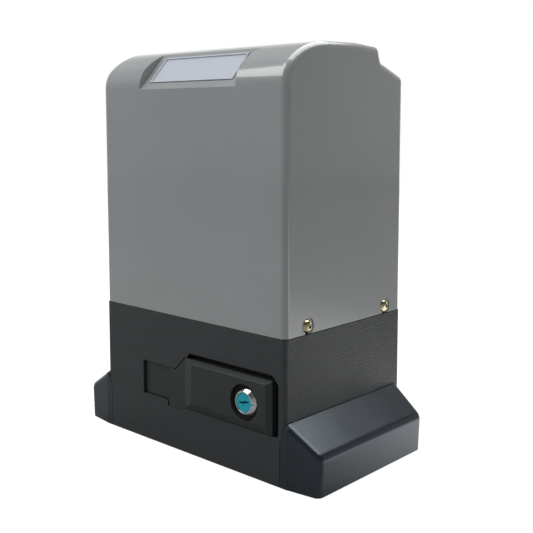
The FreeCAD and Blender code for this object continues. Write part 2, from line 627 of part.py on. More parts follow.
# ---------------------------------------------------------------- foot covers
def build_foot(side, label):
    """Drafted cap over an anchor flange, hollow below, with a flap round the corner."""
    body = new_body(label)
    profile = sketch_on(body, "XZ", "-" + FRONT)
    inner, outer = f"({RIGHT} + fit_gap)", f"({RIGHT} + foot_reach)"
    knee = "(foot_top - foot_reach * tan(foot_slope))"
    corners = [(f"{side} * {inner}", "0"), (f"{side} * ({outer} - foot_draft)", "0"),
               (f"{side} * {outer}", knee), (f"{side} * {inner}", "foot_top - fit_gap * tan(foot_slope)")]
    outline(profile, corners if side > 0 else corners[::-1])
    pad(body, profile, "foot_depth", Reversed=True)
    rear = f"({FRONT} + foot_depth)"
    for base, taper, over in ((FRONT, "foot_taper_front", -1), (rear, "-foot_taper_rear", 1)):
        wedge = sketch_on(body, "XY")
        spots = [(f"{side} * {inner}", base), (f"{side} * {outer}", f"{base} + {taper}"),
                 (f"{side} * ({outer} + 1)", f"{base} + {taper}"),
                 (f"{side} * ({outer} + 1)", f"{base} + {over}"),
                 (f"{side} * {inner}", f"{base} + {over}")]
        outline(wedge, spots)
        pocket(body, wedge, "seam_height", Reversed=True)
    dress(body, "Fillet", "foot_round", lambda e: near(abs(e.CenterOfMass.x), value(outer), 0.5)
          and near(e.CenterOfMass.z, value(knee), 0.5))
    ends = (value(FRONT), value(rear))
    dress(body, "Fillet", "foot_edge", lambda e: e.CenterOfMass.z > 1
          and abs(e.CenterOfMass.x) > value(inner) + 1
          and min(abs(e.CenterOfMass.y - y) for y in ends) < 8 and e.BoundBox.YMax - e.BoundBox.YMin < 12)
    tip = body.Tip
    shell = body.newObject("PartDesign::Thickness", label + "_shell")
    open_faces = [f"Face{i}" for i, face in enumerate(tip.Shape.Faces, 1)
                  if near(face.CenterOfMass.z, 0) or near(abs(face.CenterOfMass.x), value(inner))]
    shell.Base = (tip, open_faces)
    shell.setExpression("Value", spell("foot_wall"))
    shell.Reversed = True
    document.recompute()
    flap = sketch_on(body, "XZ", "-" + FRONT)
    outline(flap, flap_outline(side, "0", "foot_wall"))
    pad(body, flap, "foot_wall", Reversed=True)


build_foot(1, "foot_cover_right")
build_foot(-1, "foot_cover_left")


# ---------------------------------------------------------------- fasteners
def cover_screw(side, place):
    """Domed screw with a hexagon socket, lying along x, head outwards."""
    y, z = f"({FRONT} + {place})", "(seam_height + screw_lift)"
    seat = f"({RIGHT} - seat_depth)"
    name = f"screw_{'right' if side > 0 else 'left'}_{place}"
    toward = Rotation(Vector(0, 1, 0), 90 * side)
    dome_radius = (value("screw_head") ** 2 / 4 + value("screw_dome") ** 2) / (2 * value("screw_dome"))
    ball = Part.makeSphere(dome_radius, Vector(0, 0, value("screw_dome") - dome_radius))
    head = Part.makeCylinder(value("screw_head") / 2, value("screw_dome")).common(ball)
    shank = Part.makeCylinder(value("screw_shank") / 2, 9, Vector(0, 0, -9))
    socket = hexagon(3.2, 1.9).translated(Vector(0, 0, value("screw_dome") - 1.9))
    shape = head.fuse(shank).cut(socket)
    made = document.addObject("Part::Feature", name)
    made.Shape = shape
    made.Placement = Placement(Vector(side * value(seat), value(y), value(z)), toward)
    return made


def hexagon(across, height):
    """Hexagonal prism, standing on z = 0."""
    radius = across / math.sqrt(3)
    corners = [Vector(radius * math.cos(math.radians(60 * i)), radius * math.sin(math.radians(60 * i)), 0)
               for i in range(7)]
    return Part.Face(Part.makePolygon(corners)).extrude(Vector(0, 0, height))


def hex_bolt(label, spot, radius, length, axis):
    """Hexagon head bolt: spot is under the head, the shank runs against the axis."""
    shape = Part.makeCylinder(radius, length, Vector(0, 0, -length))
    shape = shape.fuse(hexagon(3.3 * radius, 1.3 * radius))
    made = document.addObject("Part::Feature", label)
    made.Shape = shape
    turn = Rotation(Vector(0, 0, 1), axis)
    made.Placement = Placement(Vector(*[value(term) for term in spot]), turn)
    return made


SCREW_SPOTS = [(side, place) for side in (-1, 1) for place in ("screw_front", "screw_rear")]
group("cover_screws", [cover_screw(side, place) for side, place in SCREW_SPOTS])


# ---------------------------------------------------------------- release lever and lock
def build_lever():
    """Flush hinge end, tongue in the window, bar standing proud with bevelled sides."""
    body = new_body("release_lever")
    low, high = sketch_on(body, "XZ", "-" + FRONT), sketch_on(body, "XZ", f"-{FRONT} + lever_proud")
    outline(low, [("lever_left + 19.5", "lever_low"), ("lever_right", "lever_low"),
                  ("lever_right", "lever_high"), ("lever_left + 20.5", "lever_high")])
    outline(high, [("lever_left + 31", "lever_low + 7"), ("lever_right - 3.4", "lever_low + 7"),
                   ("lever_right - 3.4", "lever_high - 2.4"), ("lever_left + 31.5", "lever_high - 2.4")])
    loft = body.newObject("PartDesign::AdditiveLoft", "lever_bar")
    loft.Profile, loft.Sections, loft.Ruled = low, [high], True
    document.recompute()
    face_y = value(f"{FRONT} - lever_proud")
    dress(body, "Fillet", "1.1", lambda e: near(e.BoundBox.YMin, face_y, 0.1))
    back = f"({RECESS_Y} - lever_gap)"
    plate = sketch_on(body, "XZ", "-" + back)
    outline(plate, [("lever_left", "lever_low - 2.5"), ("lever_left + 17", "lever_low - 2.5"),
                    ("lever_left + 19.5", "lever_low"), ("lever_right", "lever_low"),
                    ("lever_right", "lever_high"), ("lever_left + 20.5", "lever_high"),
                    ("lever_left + 8.5", "tongue_high"), ("lever_left", "tongue_high")])
    pad(body, plate, "lever_recess - lever_gap")
    tongue = sketch_on(body, "XZ", f"-({FRONT} + 5)")
    rectangle(tongue, "tongue_left", "tongue_low", "lever_left + 1", "tongue_high")
    pad(body, tongue, "2.5")
    barrel = sketch_on(body, "XY", "tongue_low")
    circle(barrel, "hinge_x", HINGE_Y, "hinge_pin + 2.6")
    pad(body, barrel, "tongue_high - tongue_low")
    lock_seat = sketch_on(body, "XZ", f"-{FRONT} + lever_proud")
    circle(lock_seat, "lock_x", "lock_z", "lock_bore")
    pocket(body, lock_seat, "lock_bore_depth")
    lock_hole = sketch_on(body, "XZ", f"-{FRONT} + lever_proud")
    circle(lock_hole, "lock_x", "lock_z", "plug_radius + 0.9")
    pocket(body, lock_hole, "lever_proud + lever_recess")
    cam_bump(body)
    pin_hole = sketch_on(body, "XY", "tongue_high")
    circle(pin_hole, "hinge_x", HINGE_Y, "hinge_pin + running_gap")
    pocket(body, pin_hole, "tongue_high - tongue_low")
    return body


def cam_bump(body):
    """Spiral cam on the hinge barrel: radius grows evenly over the lever's swing."""
    cam = sketch_on(body, "XY", "output_z - 6")
    centre = Vector(value("hinge_x"), value(HINGE_Y), 0)
    base, lift = value("hinge_pin + 2.8"), value("clutch_travel")
    spots = []
    steps = 6
    for step in range(steps + 1):
        turn = math.radians(90 + value("lever_swing") * step / steps)
        radius = base + lift * step / steps
        spots.append(centre + Vector(radius * math.cos(turn), radius * math.sin(turn), 0))
    curve = Part.BSplineCurve()
    curve.interpolate(spots)
    heel = centre + Vector(0, -base * 0.6, 0)
    cam.addGeometry(curve)
    cam.addGeometry(Part.LineSegment(spots[-1], heel))
    cam.addGeometry(Part.LineSegment(heel, spots[0]))
    for a, b in ((0, 1), (1, 2), (2, 0)):
        cam.addConstraint(Sketcher.Constraint("Coincident", a, 2, b, 1))
    pad(body, cam, "12")


build_lever()
keep(rod("lever_hinge_pin", ("hinge_x", HINGE_Y, "tongue_low - 5.5"), "hinge_pin",
         "tongue_high - tongue_low + 12"), "lever_hinge_pin")


def build_lock():
    """Conical chrome bezel on the lever, turning plug with keyway, hooked cam behind."""
    rim_y = f"({FRONT} - lever_proud)"
    floor = "lock_bore_depth"
    bezel = new_body("lock_bezel")
    section = sketch_on(bezel, "XZ")
    outline(section, [("plug_radius + 0.15", "0"), ("bezel_base", "0"), ("bezel_base", "1.7"),
                      ("bezel_rim", f"{floor} + 0.1"), ("plug_radius + 0.15", f"{floor} + 0.1")])
    revolve(bezel, section)
    mark = sketch_on(bezel, "XY", f"{floor} + 0.1")
    rectangle(mark, "bezel_rim - 0.2", "-0.5", "bezel_base + 0.2", "0.5")
    pocket(bezel, mark, "1.6")
    bezel.Placement = Placement(Vector(value("lock_x"), value(f"{rim_y} + {floor}"), value("lock_z")),
                                Rotation(Vector(1, 0, 0), 90))
    shell = ring("lock_shell", "lock_x", f"{rim_y} + {floor}", "lock_z", "y", "plug_radius - 1.5",
                 "plug_radius + 0.6", "lever_recess + lever_proud - lock_bore_depth + 5")
    plug = new_body("lock_plug")
    core = sketch_on(plug, "XZ", f"-({rim_y} + 0.5)")
    circle(core, "lock_x", "lock_z", "plug_radius")
    pad(plug, core, "lock_bore_depth - 0.6", Reversed=True)
    stem = sketch_on(plug, "XZ", f"-({rim_y} + 0.5)")
    circle(stem, "lock_x", "lock_z", "plug_radius - 1.5 - running_gap")
    pad(plug, stem, f"{BAY_Y} - {rim_y} + 1.5", Reversed=True)
    keyway = sketch_on(plug, "XZ", f"-({rim_y} + 0.5)")
    outline(keyway, [("lock_x - 4.9", "lock_z - 1.4"), ("lock_x + 0.6", "lock_z - 1.4"),
                     ("lock_x + 0.6", "lock_z - 0.2"), ("lock_x + 4.9", "lock_z - 0.2"),
                     ("lock_x + 4.9", "lock_z + 1.4"), ("lock_x - 0.6", "lock_z + 1.4"),
                     ("lock_x - 0.6", "lock_z + 0.2"), ("lock_x - 4.9", "lock_z + 0.2")])
    pocket(plug, keyway, "9")
    blade = fuse("lock_cam", [
        rod("lock_cam_hub", ("lock_x", f"{BAY_Y} + 2", "lock_z"), "5.5", "2.4", "y"),
        solid_box("lock_cam_arm", ("lock_x - 3", f"{BAY_Y} + 2", "lock_z - 16.5"),
                  ("lock_x + 3", f"{BAY_Y} + 4.4", "lock_z"))])
    keep(blade, "lock_cam")
    return shell


build_lock()


def build_plunger():
    """Release rod: cone nose behind the lever's cam, tail in the bored output shaft."""
    start = f"({HINGE_Y} + hinge_pin + 2.8 + 0.5)"
    nose = document.addObject("Part::Cone", "plunger_nose")
    bind(nose, Radius1="0.5", Radius2="4", Height="4")
    nose.Placement = Placement(Vector(), Rotation(Vector(1, 0, 0), -90))
    for name, term in zip("xyz", ("output_x", start, "output_z")):
        nose.setExpression("Placement.Base." + name, spell(term))
    tail = rod("plunger_rod", ("output_x", f"{start} + 4", "output_z"), "4",
               f"{PIN_Y} - 3 - 0.3 - {start} - 4", "y")
    collar = rod("plunger_collar", ("output_x", f"{start} + 8", "output_z"), "7", "3", "y")
    keep(fuse("release_plunger", [nose, tail, collar]), "release_plunger")


# ---------------------------------------------------------------- output shaft and clutch
WHEEL_REAR = "(wheel_y + wheel_face / 2 + 2)"
DOG_Y = f"({WHEEL_REAR} + jaw_height)"           # face of the dog ring behind its jaws
PIN_Y = f"({DOG_Y} + dog_thick / 2)"             # cross pin that the plunger pushes
FLANGE_Y = f"({BACK} + 0.5)"                     # outer face of the gasket
REAR_BEARING_Y = f"({BACK} - 18)"
PINION_Y = f"({BACK} + 6.5 + pinion_gap)"


def build_shaft():
    """Stepped output shaft, bored for the plunger, slotted for the pin, with keyways."""
    body = new_body("output_shaft")
    section = sketch_on(body, "XZ")
    start, nose_end = f"({WEB_FRONT} + 1)", f"({WEB_REAR} + 0.3)"
    shoulder_end = "(wheel_y - wheel_face / 2 - 2.3)"
    end = f"({PINION_Y} + pinion_face)"
    outline(section, [("0", start), ("shaft_nose", start), ("shaft_nose", nose_end),
                      ("shaft_radius + 4", nose_end), ("shaft_radius + 4", shoulder_end),
                      ("shaft_radius", shoulder_end), ("shaft_radius", end), ("0", end)])
    revolve(body, section)
    centre = Vector(value("output_x"), 0, value("output_z"))
    body.Placement = Placement(centre, Rotation(Vector(1, 0, 0), -90))
    bore = sketch_on(body, "XY", start)
    circle(bore, "0", "0", "4.5")
    pocket(body, bore, f"{PIN_Y} + 4 - {start}", Reversed=True)
    slot_cut = sketch_on(body, "XZ")
    slot_low, slot_high = f"({PIN_Y} - 3.4)", f"({PIN_Y} + 3.4 + clutch_travel)"
    rectangle(slot_cut, "-3.4", slot_low, "3.4", slot_high)
    pocket(body, slot_cut, "4 * shaft_radius", Midplane=True)
    thread = sketch_on(body, "XY", end)
    circle(thread, "0", "0", "4")
    pocket(body, thread, "18")
    key_seat = sketch_on(body, "XZ", "shaft_radius - 4")
    rectangle(key_seat, "-4", f"{PINION_Y} + 3", "4", f"{PINION_Y} + pinion_face - 3")
    pocket(body, key_seat, "shaft_radius", Reversed=True)


build_plunger()
build_shaft()


def involute_wire(module, teeth, slack, turn=0.0, shift=0.0):
    """Closed outline of a spur gear at height shift; slack thins each tooth evenly."""
    pitch = module * teeth / 2
    base, tip, root = pitch * math.cos(math.radians(20)), pitch + module, pitch - 1.25 * module
    half = (math.pi * module / 2 - slack) / (2 * pitch)
    lean = math.tan(math.radians(20)) - math.radians(20)

    def flank_angle(radius):
        pressure = math.acos(min(1.0, base / radius))
        return half + lean - (math.tan(pressure) - pressure)

    def spot(radius, angle):
        return Vector(radius * math.cos(angle), radius * math.sin(angle), shift)

    start = max(base, root)
    steps = [start + (tip - start) * i / 3 for i in range(4)]
    edges = []
    for tooth in range(teeth):
        middle = turn + 2 * math.pi * (tooth + 0.5) / teeth
        rising = [spot(r, middle - flank_angle(r)) for r in steps]
        falling = [spot(r, middle + flank_angle(r)) for r in reversed(steps)]
        foot_in, foot_out = spot(root, middle - flank_angle(start)), spot(root, middle + flank_angle(start))
        if start > root:
            edges.append(Part.makeLine(foot_in, rising[0]))
        for points in (rising, falling):
            curve = Part.BSplineCurve()
            curve.interpolate(points)
            edges.append(curve.toShape())
            if points is rising:
                edges.append(Part.Arc(rising[-1], spot(tip, middle), falling[0]).toShape())
        if start > root:
            edges.append(Part.makeLine(falling[-1], foot_out))
        gap = middle + math.pi / teeth
        following = spot(root, middle + 2 * math.pi / teeth - flank_angle(start))
        edges.append(Part.Arc(foot_out, spot(root, gap), following).toShape())
    return Part.Wire(edges)


def jaws(inner, outer, low, height, first):
    """Four dog teeth: every second eighth of a ring, with running room at the flanks."""
    count, slack = int(value("jaw_count")), 1.5
    sector = 180.0 / count - slack
    solids = []
    for i in range(count):
        tooth = Part.makeCylinder(outer, height, Vector(0, 0, low), Vector(0, 0, 1), sector)
        tooth.rotate(Vector(), Vector(0, 0, 1), first + slack / 2 + 360.0 * i / count)
        solids.append(tooth.cut(Part.makeCylinder(inner, height, Vector(0, 0, low))))
    return solids


ALONG_Y = Rotation(Vector(1, 0, 0), -90)         # local z to +Y


def on_output(label, shape):
    """Place a shape made about local z onto the output axis (local z becomes +Y)."""
    made = formed(label, shape)
    place = Placement(Vector(value("output_x"), 0, value("output_z")), ALONG_Y)
    made.Placement = place.multiply(shape.Placement)
    return made


def build_worm_wheel():
    """Worm wheel: helical teeth, dished web, bushed hub and dog teeth on its rear."""
    module, teeth, face = value("gear_module"), int(value("wheel_teeth")), value("wheel_face")
    lead = module / (2 * value("worm_pitch_radius"))
    pitch = module * teeth / 2
    low, twist = value("wheel_y") - face / 2, face * lead / pitch
    wires = [involute_wire(module, teeth, value("backlash") / 2, turn, low + lift)
             for lift, turn in ((0, -twist / 2), (face, twist / 2))]
    rim = Part.makeLoft(wires, True, True)
    root = pitch - 1.25 * module
    hub_end = value(WHEEL_REAR)
    dog = value("dog_radius")
    for level, height in ((low, 5), (low + face - 5, 5)):
        dish = Part.makeCylinder(root - 4, height, Vector(0, 0, level))
        rim = rim.cut(dish.cut(Part.makeCylinder(dog, height, Vector(0, 0, level))))
    hub = Part.makeCylinder(dog, hub_end - low, Vector(0, 0, low))
    bore_radius = value("shaft_radius + running_gap")
    wheel = rim.fuse([hub] + jaws(bore_radius + 1, dog, hub_end, value("jaw_height") - 0.5, 0))
    wheel = wheel.cut(Part.makeCylinder(bore_radius, hub_end + 20 - low, Vector(0, 0, low - 1)))
    on_output("worm_wheel", wheel.removeSplitter())


def build_dog_ring():
    """Sliding dog ring, driven by the cross pin through the shaft's slot."""
    start, thick, dog = value(DOG_Y), value("dog_thick"), value("dog_radius")
    bore_radius = value("shaft_radius + running_gap")
    ring_solid = Part.makeCylinder(dog, thick, Vector(0, 0, start))
    teeth = jaws(bore_radius + 1, dog, value(WHEEL_REAR) + 0.5, value("jaw_height") - 0.5,
                 180.0 / value("jaw_count"))
    bore = Part.makeCylinder(bore_radius, thick + 30, Vector(0, 0, start - 10))
    ring_solid = ring_solid.fuse(teeth).cut(bore)
    groove = Part.makeCylinder(dog + 1, 3, Vector(0, 0, start + thick - 3))
    ring_solid = ring_solid.cut(groove.cut(Part.makeCylinder(dog - 4, 3, Vector(0, 0, start + thick - 3))))
    pin_bore = Part.makeCylinder(3, 2 * dog + 2, Vector(0, dog + 1, value(PIN_Y)), Vector(0, -1, 0))
    on_output("clutch_dog", ring_solid.cut(pin_bore).removeSplitter())
    pin = rod("clutch_pin", ("output_x", PIN_Y, "output_z - dog_radius + 1"), "3", "2 * dog_radius - 2")
    keep(pin, "clutch_pin")


def build_clutch_spring():
    """Return spring behind the dog ring: flat wire, each half turn a tilted half ring."""
    start, end = value(f"{DOG_Y} + dog_thick"), value(REAR_BEARING_Y)
    wide, thick, radius = value("spring_wide"), value("spring_thick"), value("shaft_radius + 3.4")
    half_turns = 8
    rise = (end - start - thick - 0.8) / half_turns
    halves = []
    for step in range(half_turns):
        side = 1 if step % 2 == 0 else -1
        level = start + thick / 2 + 0.2 + step * rise
        inner, outer = side * (radius - wide / 2), side * (radius + wide / 2)
        low, high = level - thick / 2, level + thick / 2
        section = Part.Face(Part.makePolygon([Vector(inner, 0, low), Vector(outer, 0, low),
                                              Vector(outer, 0, high), Vector(inner, 0, high),
                                              Vector(inner, 0, low)]))
        axis = Vector(side * rise, 0, 2 * radius)
        halves.append(section.revolve(Vector(0, 0, level + rise / 2), axis, 180))
    on_output("clutch_spring", halves[0].fuse(halves[1:]))


def build_pinion():
    """Rack pinion: spur teeth bevelled at both ends, keyed bore."""
    module, teeth, face = value("pinion_module"), int(value("pinion_teeth")), value("pinion_face")
    start = value(PINION_Y)
    wire = involute_wire(module, teeth, 0.0, 0.0, start)
    gear = Part.Face(wire).extrude(Vector(0, 0, face))
    tip = module * teeth / 2 + module
    waist = Part.makeCylinder(tip, face - 4, Vector(0, 0, start + 2))
    blank = waist.fuse([Part.makeCone(tip - 2, tip, 2, Vector(0, 0, start)),
                        Part.makeCone(tip, tip - 2, 2, Vector(0, 0, start + face - 2))])
    gear = gear.common(blank)
    bore = Part.makeCylinder(value("shaft_radius") + 0.03, face + 2, Vector(0, 0, start - 1))
    keyway = Part.makeBox(8.1, 8, face + 2, Vector(-4.05, -value("shaft_radius") - 3.3, start - 1))
    on_output("pinion", gear.cut([bore, keyway]))


def build_output_cover():
    """Turned rear flange: spigot with bearing seat, seal seat, four bolt holes, ribs."""
    body = new_body("output_cover")
    pilot, outer = f"({PILOT_RADIUS} - 0.1)", f"({COVER_BOLT_CIRCLE} + 5)"
    section = sketch_on(body, "XZ")
    bearing = BEARING_LARGE
    outline(section, [("shaft_radius + 2", f"{REAR_BEARING_Y} - 2 + {bearing['width']} + 2"),
                      (f"{bearing['outer']} + {RIM_GAP}", f"{REAR_BEARING_Y} + {bearing['width']}"),
                      (f"{bearing['outer']} + {RIM_GAP}", REAR_BEARING_Y),
                      (pilot, REAR_BEARING_Y), (pilot, FLANGE_Y), (outer, FLANGE_Y),
                      (outer, f"{FLANGE_Y} + 4"), (f"{COVER_BOLT_CIRCLE} - 5", f"{FLANGE_Y} + 4"),
                      (f"{COVER_BOLT_CIRCLE} - 12", f"{FLANGE_Y} + 5.5"),
                      (f"20 + {RIM_GAP}", f"{FLANGE_Y} + 5.5"), (f"20 + {RIM_GAP}", f"{FLANGE_Y} - 1.2"),
                      ("shaft_radius + 2", f"{FLANGE_Y} - 1.2")])
    revolve(body, section)
    body.Placement = Placement(Vector(value("output_x"), 0, value("output_z")), ALONG_Y)
    holes = sketch_on(body, "XY", FLANGE_Y)
    step = f"({DIAGONAL} * {COVER_BOLT_CIRCLE})"
    circle(holes, step, step, "2.75")
    drilled = pocket(body, holes, "8", Reversed=True)
    repeat(body, drilled, "PolarPattern", Axis=(holes, ["N_Axis"]), Angle=360, Occurrences=4)
    y = f"({FLANGE_Y} + 4)"
    corners = [(f"output_x + {across} * {step}", f"output_z + {up} * {step}")
               for across, up in ((1, 1), (-1, 1), (-1, -1), (1, -1))]
    bolts = [hex_bolt(f"cover_bolt_{i}", (x, y, z), 2.5, 11, Vector(0, 1, 0))
             for i, (x, z) in enumerate(corners)]
    group("output_cover_bolts", bolts)
    gasket = cut("gasket", rod("gasket_outer", ("output_x", BACK, "output_z"), outer, "0.5", "y"),
                 [rod("gasket_inner", ("output_x", BACK, "output_z"), PILOT_RADIUS, "0.5", "y")]
                 + [rod(f"gasket_hole_{i}", (x, BACK, z), "2.75", "0.5", "y")
                    for i, (x, z) in enumerate(corners)])
    keep(gasket, "output_cover_gasket")
    ring("output_oil_seal", "output_x", f"{FLANGE_Y} - 1.2", "output_z", "y",
         "shaft_radius + running_gap", "20", "6")


build_worm_wheel()
build_dog_ring()
build_clutch_spring()
build_pinion()
build_output_cover()
ring("output_bearing_front", "output_x", f"{WEB_REAR} - 10", "output_z", "y", "shaft_nose + running_gap",
     BEARING_SMALL["outer"], BEARING_SMALL["width"])
ring("output_bearing_rear", "output_x", REAR_BEARING_Y, "output_z", "y", "shaft_radius + running_gap",
     BEARING_LARGE["outer"], BEARING_LARGE["width"])
keep(solid_box("pinion_key", ("output_x - 4", f"{PINION_Y} + 3.2", "output_z + shaft_radius - 4"),
               ("output_x + 4", f"{PINION_Y} + pinion_face - 3.2", "output_z + shaft_radius + 3")),
     "pinion_key")
washer_y = f"({PINION_Y} + pinion_face)"
ring("pinion_washer", "output_x", washer_y, "output_z", "y", "4.2", "17", "3")
keep(hex_bolt("pinion_bolt_shape", ("output_x", f"{washer_y} + 3", "output_z"), 4, 18, Vector(0, 1, 0)),
     "pinion_bolt")


# ---------------------------------------------------------------- worm, rotor and motor
def build_worm():
    """Motor shaft in one piece with the single-start worm; origin axis at WORM_X."""
    body = new_body("worm_shaft")
    section = sketch_on(body, "XZ")
    root = "(worm_pitch_radius - 1.25 * gear_module)"
    top = f"({MOTOR_TOP} - 4)"
    outline(section, [("0", "5.2"), ("shaft_nose", "5.2"), ("shaft_nose", "16"), (root, "16.5"),
                      (root, f"{DECK} - 1.2"), ("shaft_radius", f"{DECK} - 0.2"),
                      ("shaft_radius", f"{MOTOR_LOW} + bell_height - 6"),
                      ("shaft_nose + 1.5", f"{MOTOR_LOW} + bell_height - 6"),
                      ("shaft_nose + 1.5", f"{CORE_TOP} + 2"), ("shaft_nose", f"{CORE_TOP} + 2"),
                      ("shaft_nose", top), ("0", top)])
    revolve(body, section)
    pitch = "(gear_module * pi)"
    start = f"(output_z - 2.5 * {pitch})"
    half_tip = f"({pitch} / 4 - backlash / 4 - gear_module * tan(20))"
    half_root = f"({pitch} / 4 - backlash / 4 + 1.25 * gear_module * tan(20))"
    thread = sketch_on(body, "XZ")
    outline(thread, [(f"{root} - 0.4", f"{start} - {half_root}"), (root, f"{start} - {half_root}"),
                     (WORM_TIP, f"{start} - {half_tip}"), (WORM_TIP, f"{start} + {half_tip}"),
                     (root, f"{start} + {half_root}"), (f"{root} - 0.4", f"{start} + {half_root}")])
    feature(body, "AdditiveHelix", thread, ReferenceAxis=(thread, ["V_Axis"]), Mode="pitch-height-angle",
            Pitch=pitch, Height=f"5 * {pitch}")
    body.Placement = Placement(Vector(value(WORM_X), value("wheel_y"), 0), Rotation())


def motor_rod(label, radius, low, height):
    return rod(label, (WORM_X, "wheel_y", low), radius, height)


MOTOR_LOW = FLANGE_TOP
CORE_LOW = f"({MOTOR_LOW} + bell_height)"
CORE_TOP = f"({CORE_LOW} + core_height)"
MOTOR_TOP = f"({CORE_TOP} + bell_height)"
TOP_BEARING = f"({MOTOR_TOP} - 12)"


EAR_COS, EAR_SIN = "(cos(30) * (core_radius + 3))", "(sin(30) * (core_radius + 3))"
EAR_SPOTS = [(EAR_COS, EAR_SIN), (f"-{EAR_SIN}", EAR_COS), (f"-{EAR_COS}", f"-{EAR_SIN}"),
             (EAR_SIN, f"-{EAR_COS}")]


def bell_body(label, low, seat_radius, seat_depth, shaft_hole, opening_up):
    """Cast end bell: drum, bearing seat, four ears for the long bolts, vent windows."""
    body = new_body(label)
    section = sketch_on(body, "XZ")
    high = f"({low} + bell_height)"
    seat = f"({seat_radius} + {RIM_GAP})"
    if opening_up:
        corners = [(seat, low), ("core_radius", low), ("core_radius", high), ("core_radius - 4", high),
                   ("core_radius - 4", f"{low} + 4"), (f"{seat} + 4", f"{low} + 4"),
                   (f"{seat} + 4", f"{low} + {seat_depth} + 3"), (shaft_hole, f"{low} + {seat_depth} + 3"),
                   (shaft_hole, f"{low} + {seat_depth}"), (seat, f"{low} + {seat_depth}")]
    else:
        corners = [(shaft_hole, high), ("core_radius", high), ("core_radius", low), ("core_radius - 4", low),
                   ("core_radius - 4", f"{high} - 4"), (f"{seat} + 4", f"{high} - 4"),
                   (f"{seat} + 4", f"{high} - {seat_depth} - 2"), (seat, f"{high} - {seat_depth} - 2"),
                   (seat, f"{high} - 2"), (shaft_hole, f"{high} - 2")]
    outline(section, corners)
    revolve(body, section)
    ears = sketch_on(body, "XY", low)
    circle(ears, *EAR_SPOTS[0], "6")
    eared = pad(body, ears, "bell_height")
    repeat(body, eared, "PolarPattern", Axis=(ears, ["N_Axis"]), Angle=360, Occurrences=4)
    holes = sketch_on(body, "XY", low)
    circle(holes, *EAR_SPOTS[0], "2.7")
    drilled = pocket(body, holes, "bell_height", Reversed=True)
    repeat(body, drilled, "PolarPattern", Axis=(holes, ["N_Axis"]), Angle=360, Occurrences=4)
    vents = sketch_on(body, "XZ")
    middle = f"({low} + bell_height / 2)"
    slot(vents, "0", middle, "30", "7")
    cut_vent = pocket(body, vents, "core_radius + 2", Reversed=True)
    repeat(body, cut_vent, "PolarPattern", Axis=(ears, ["N_Axis"]), Angle=360, Occurrences=4)
    body.Placement = Placement(Vector(value(WORM_X), value("wheel_y"), 0), Rotation())
    return body


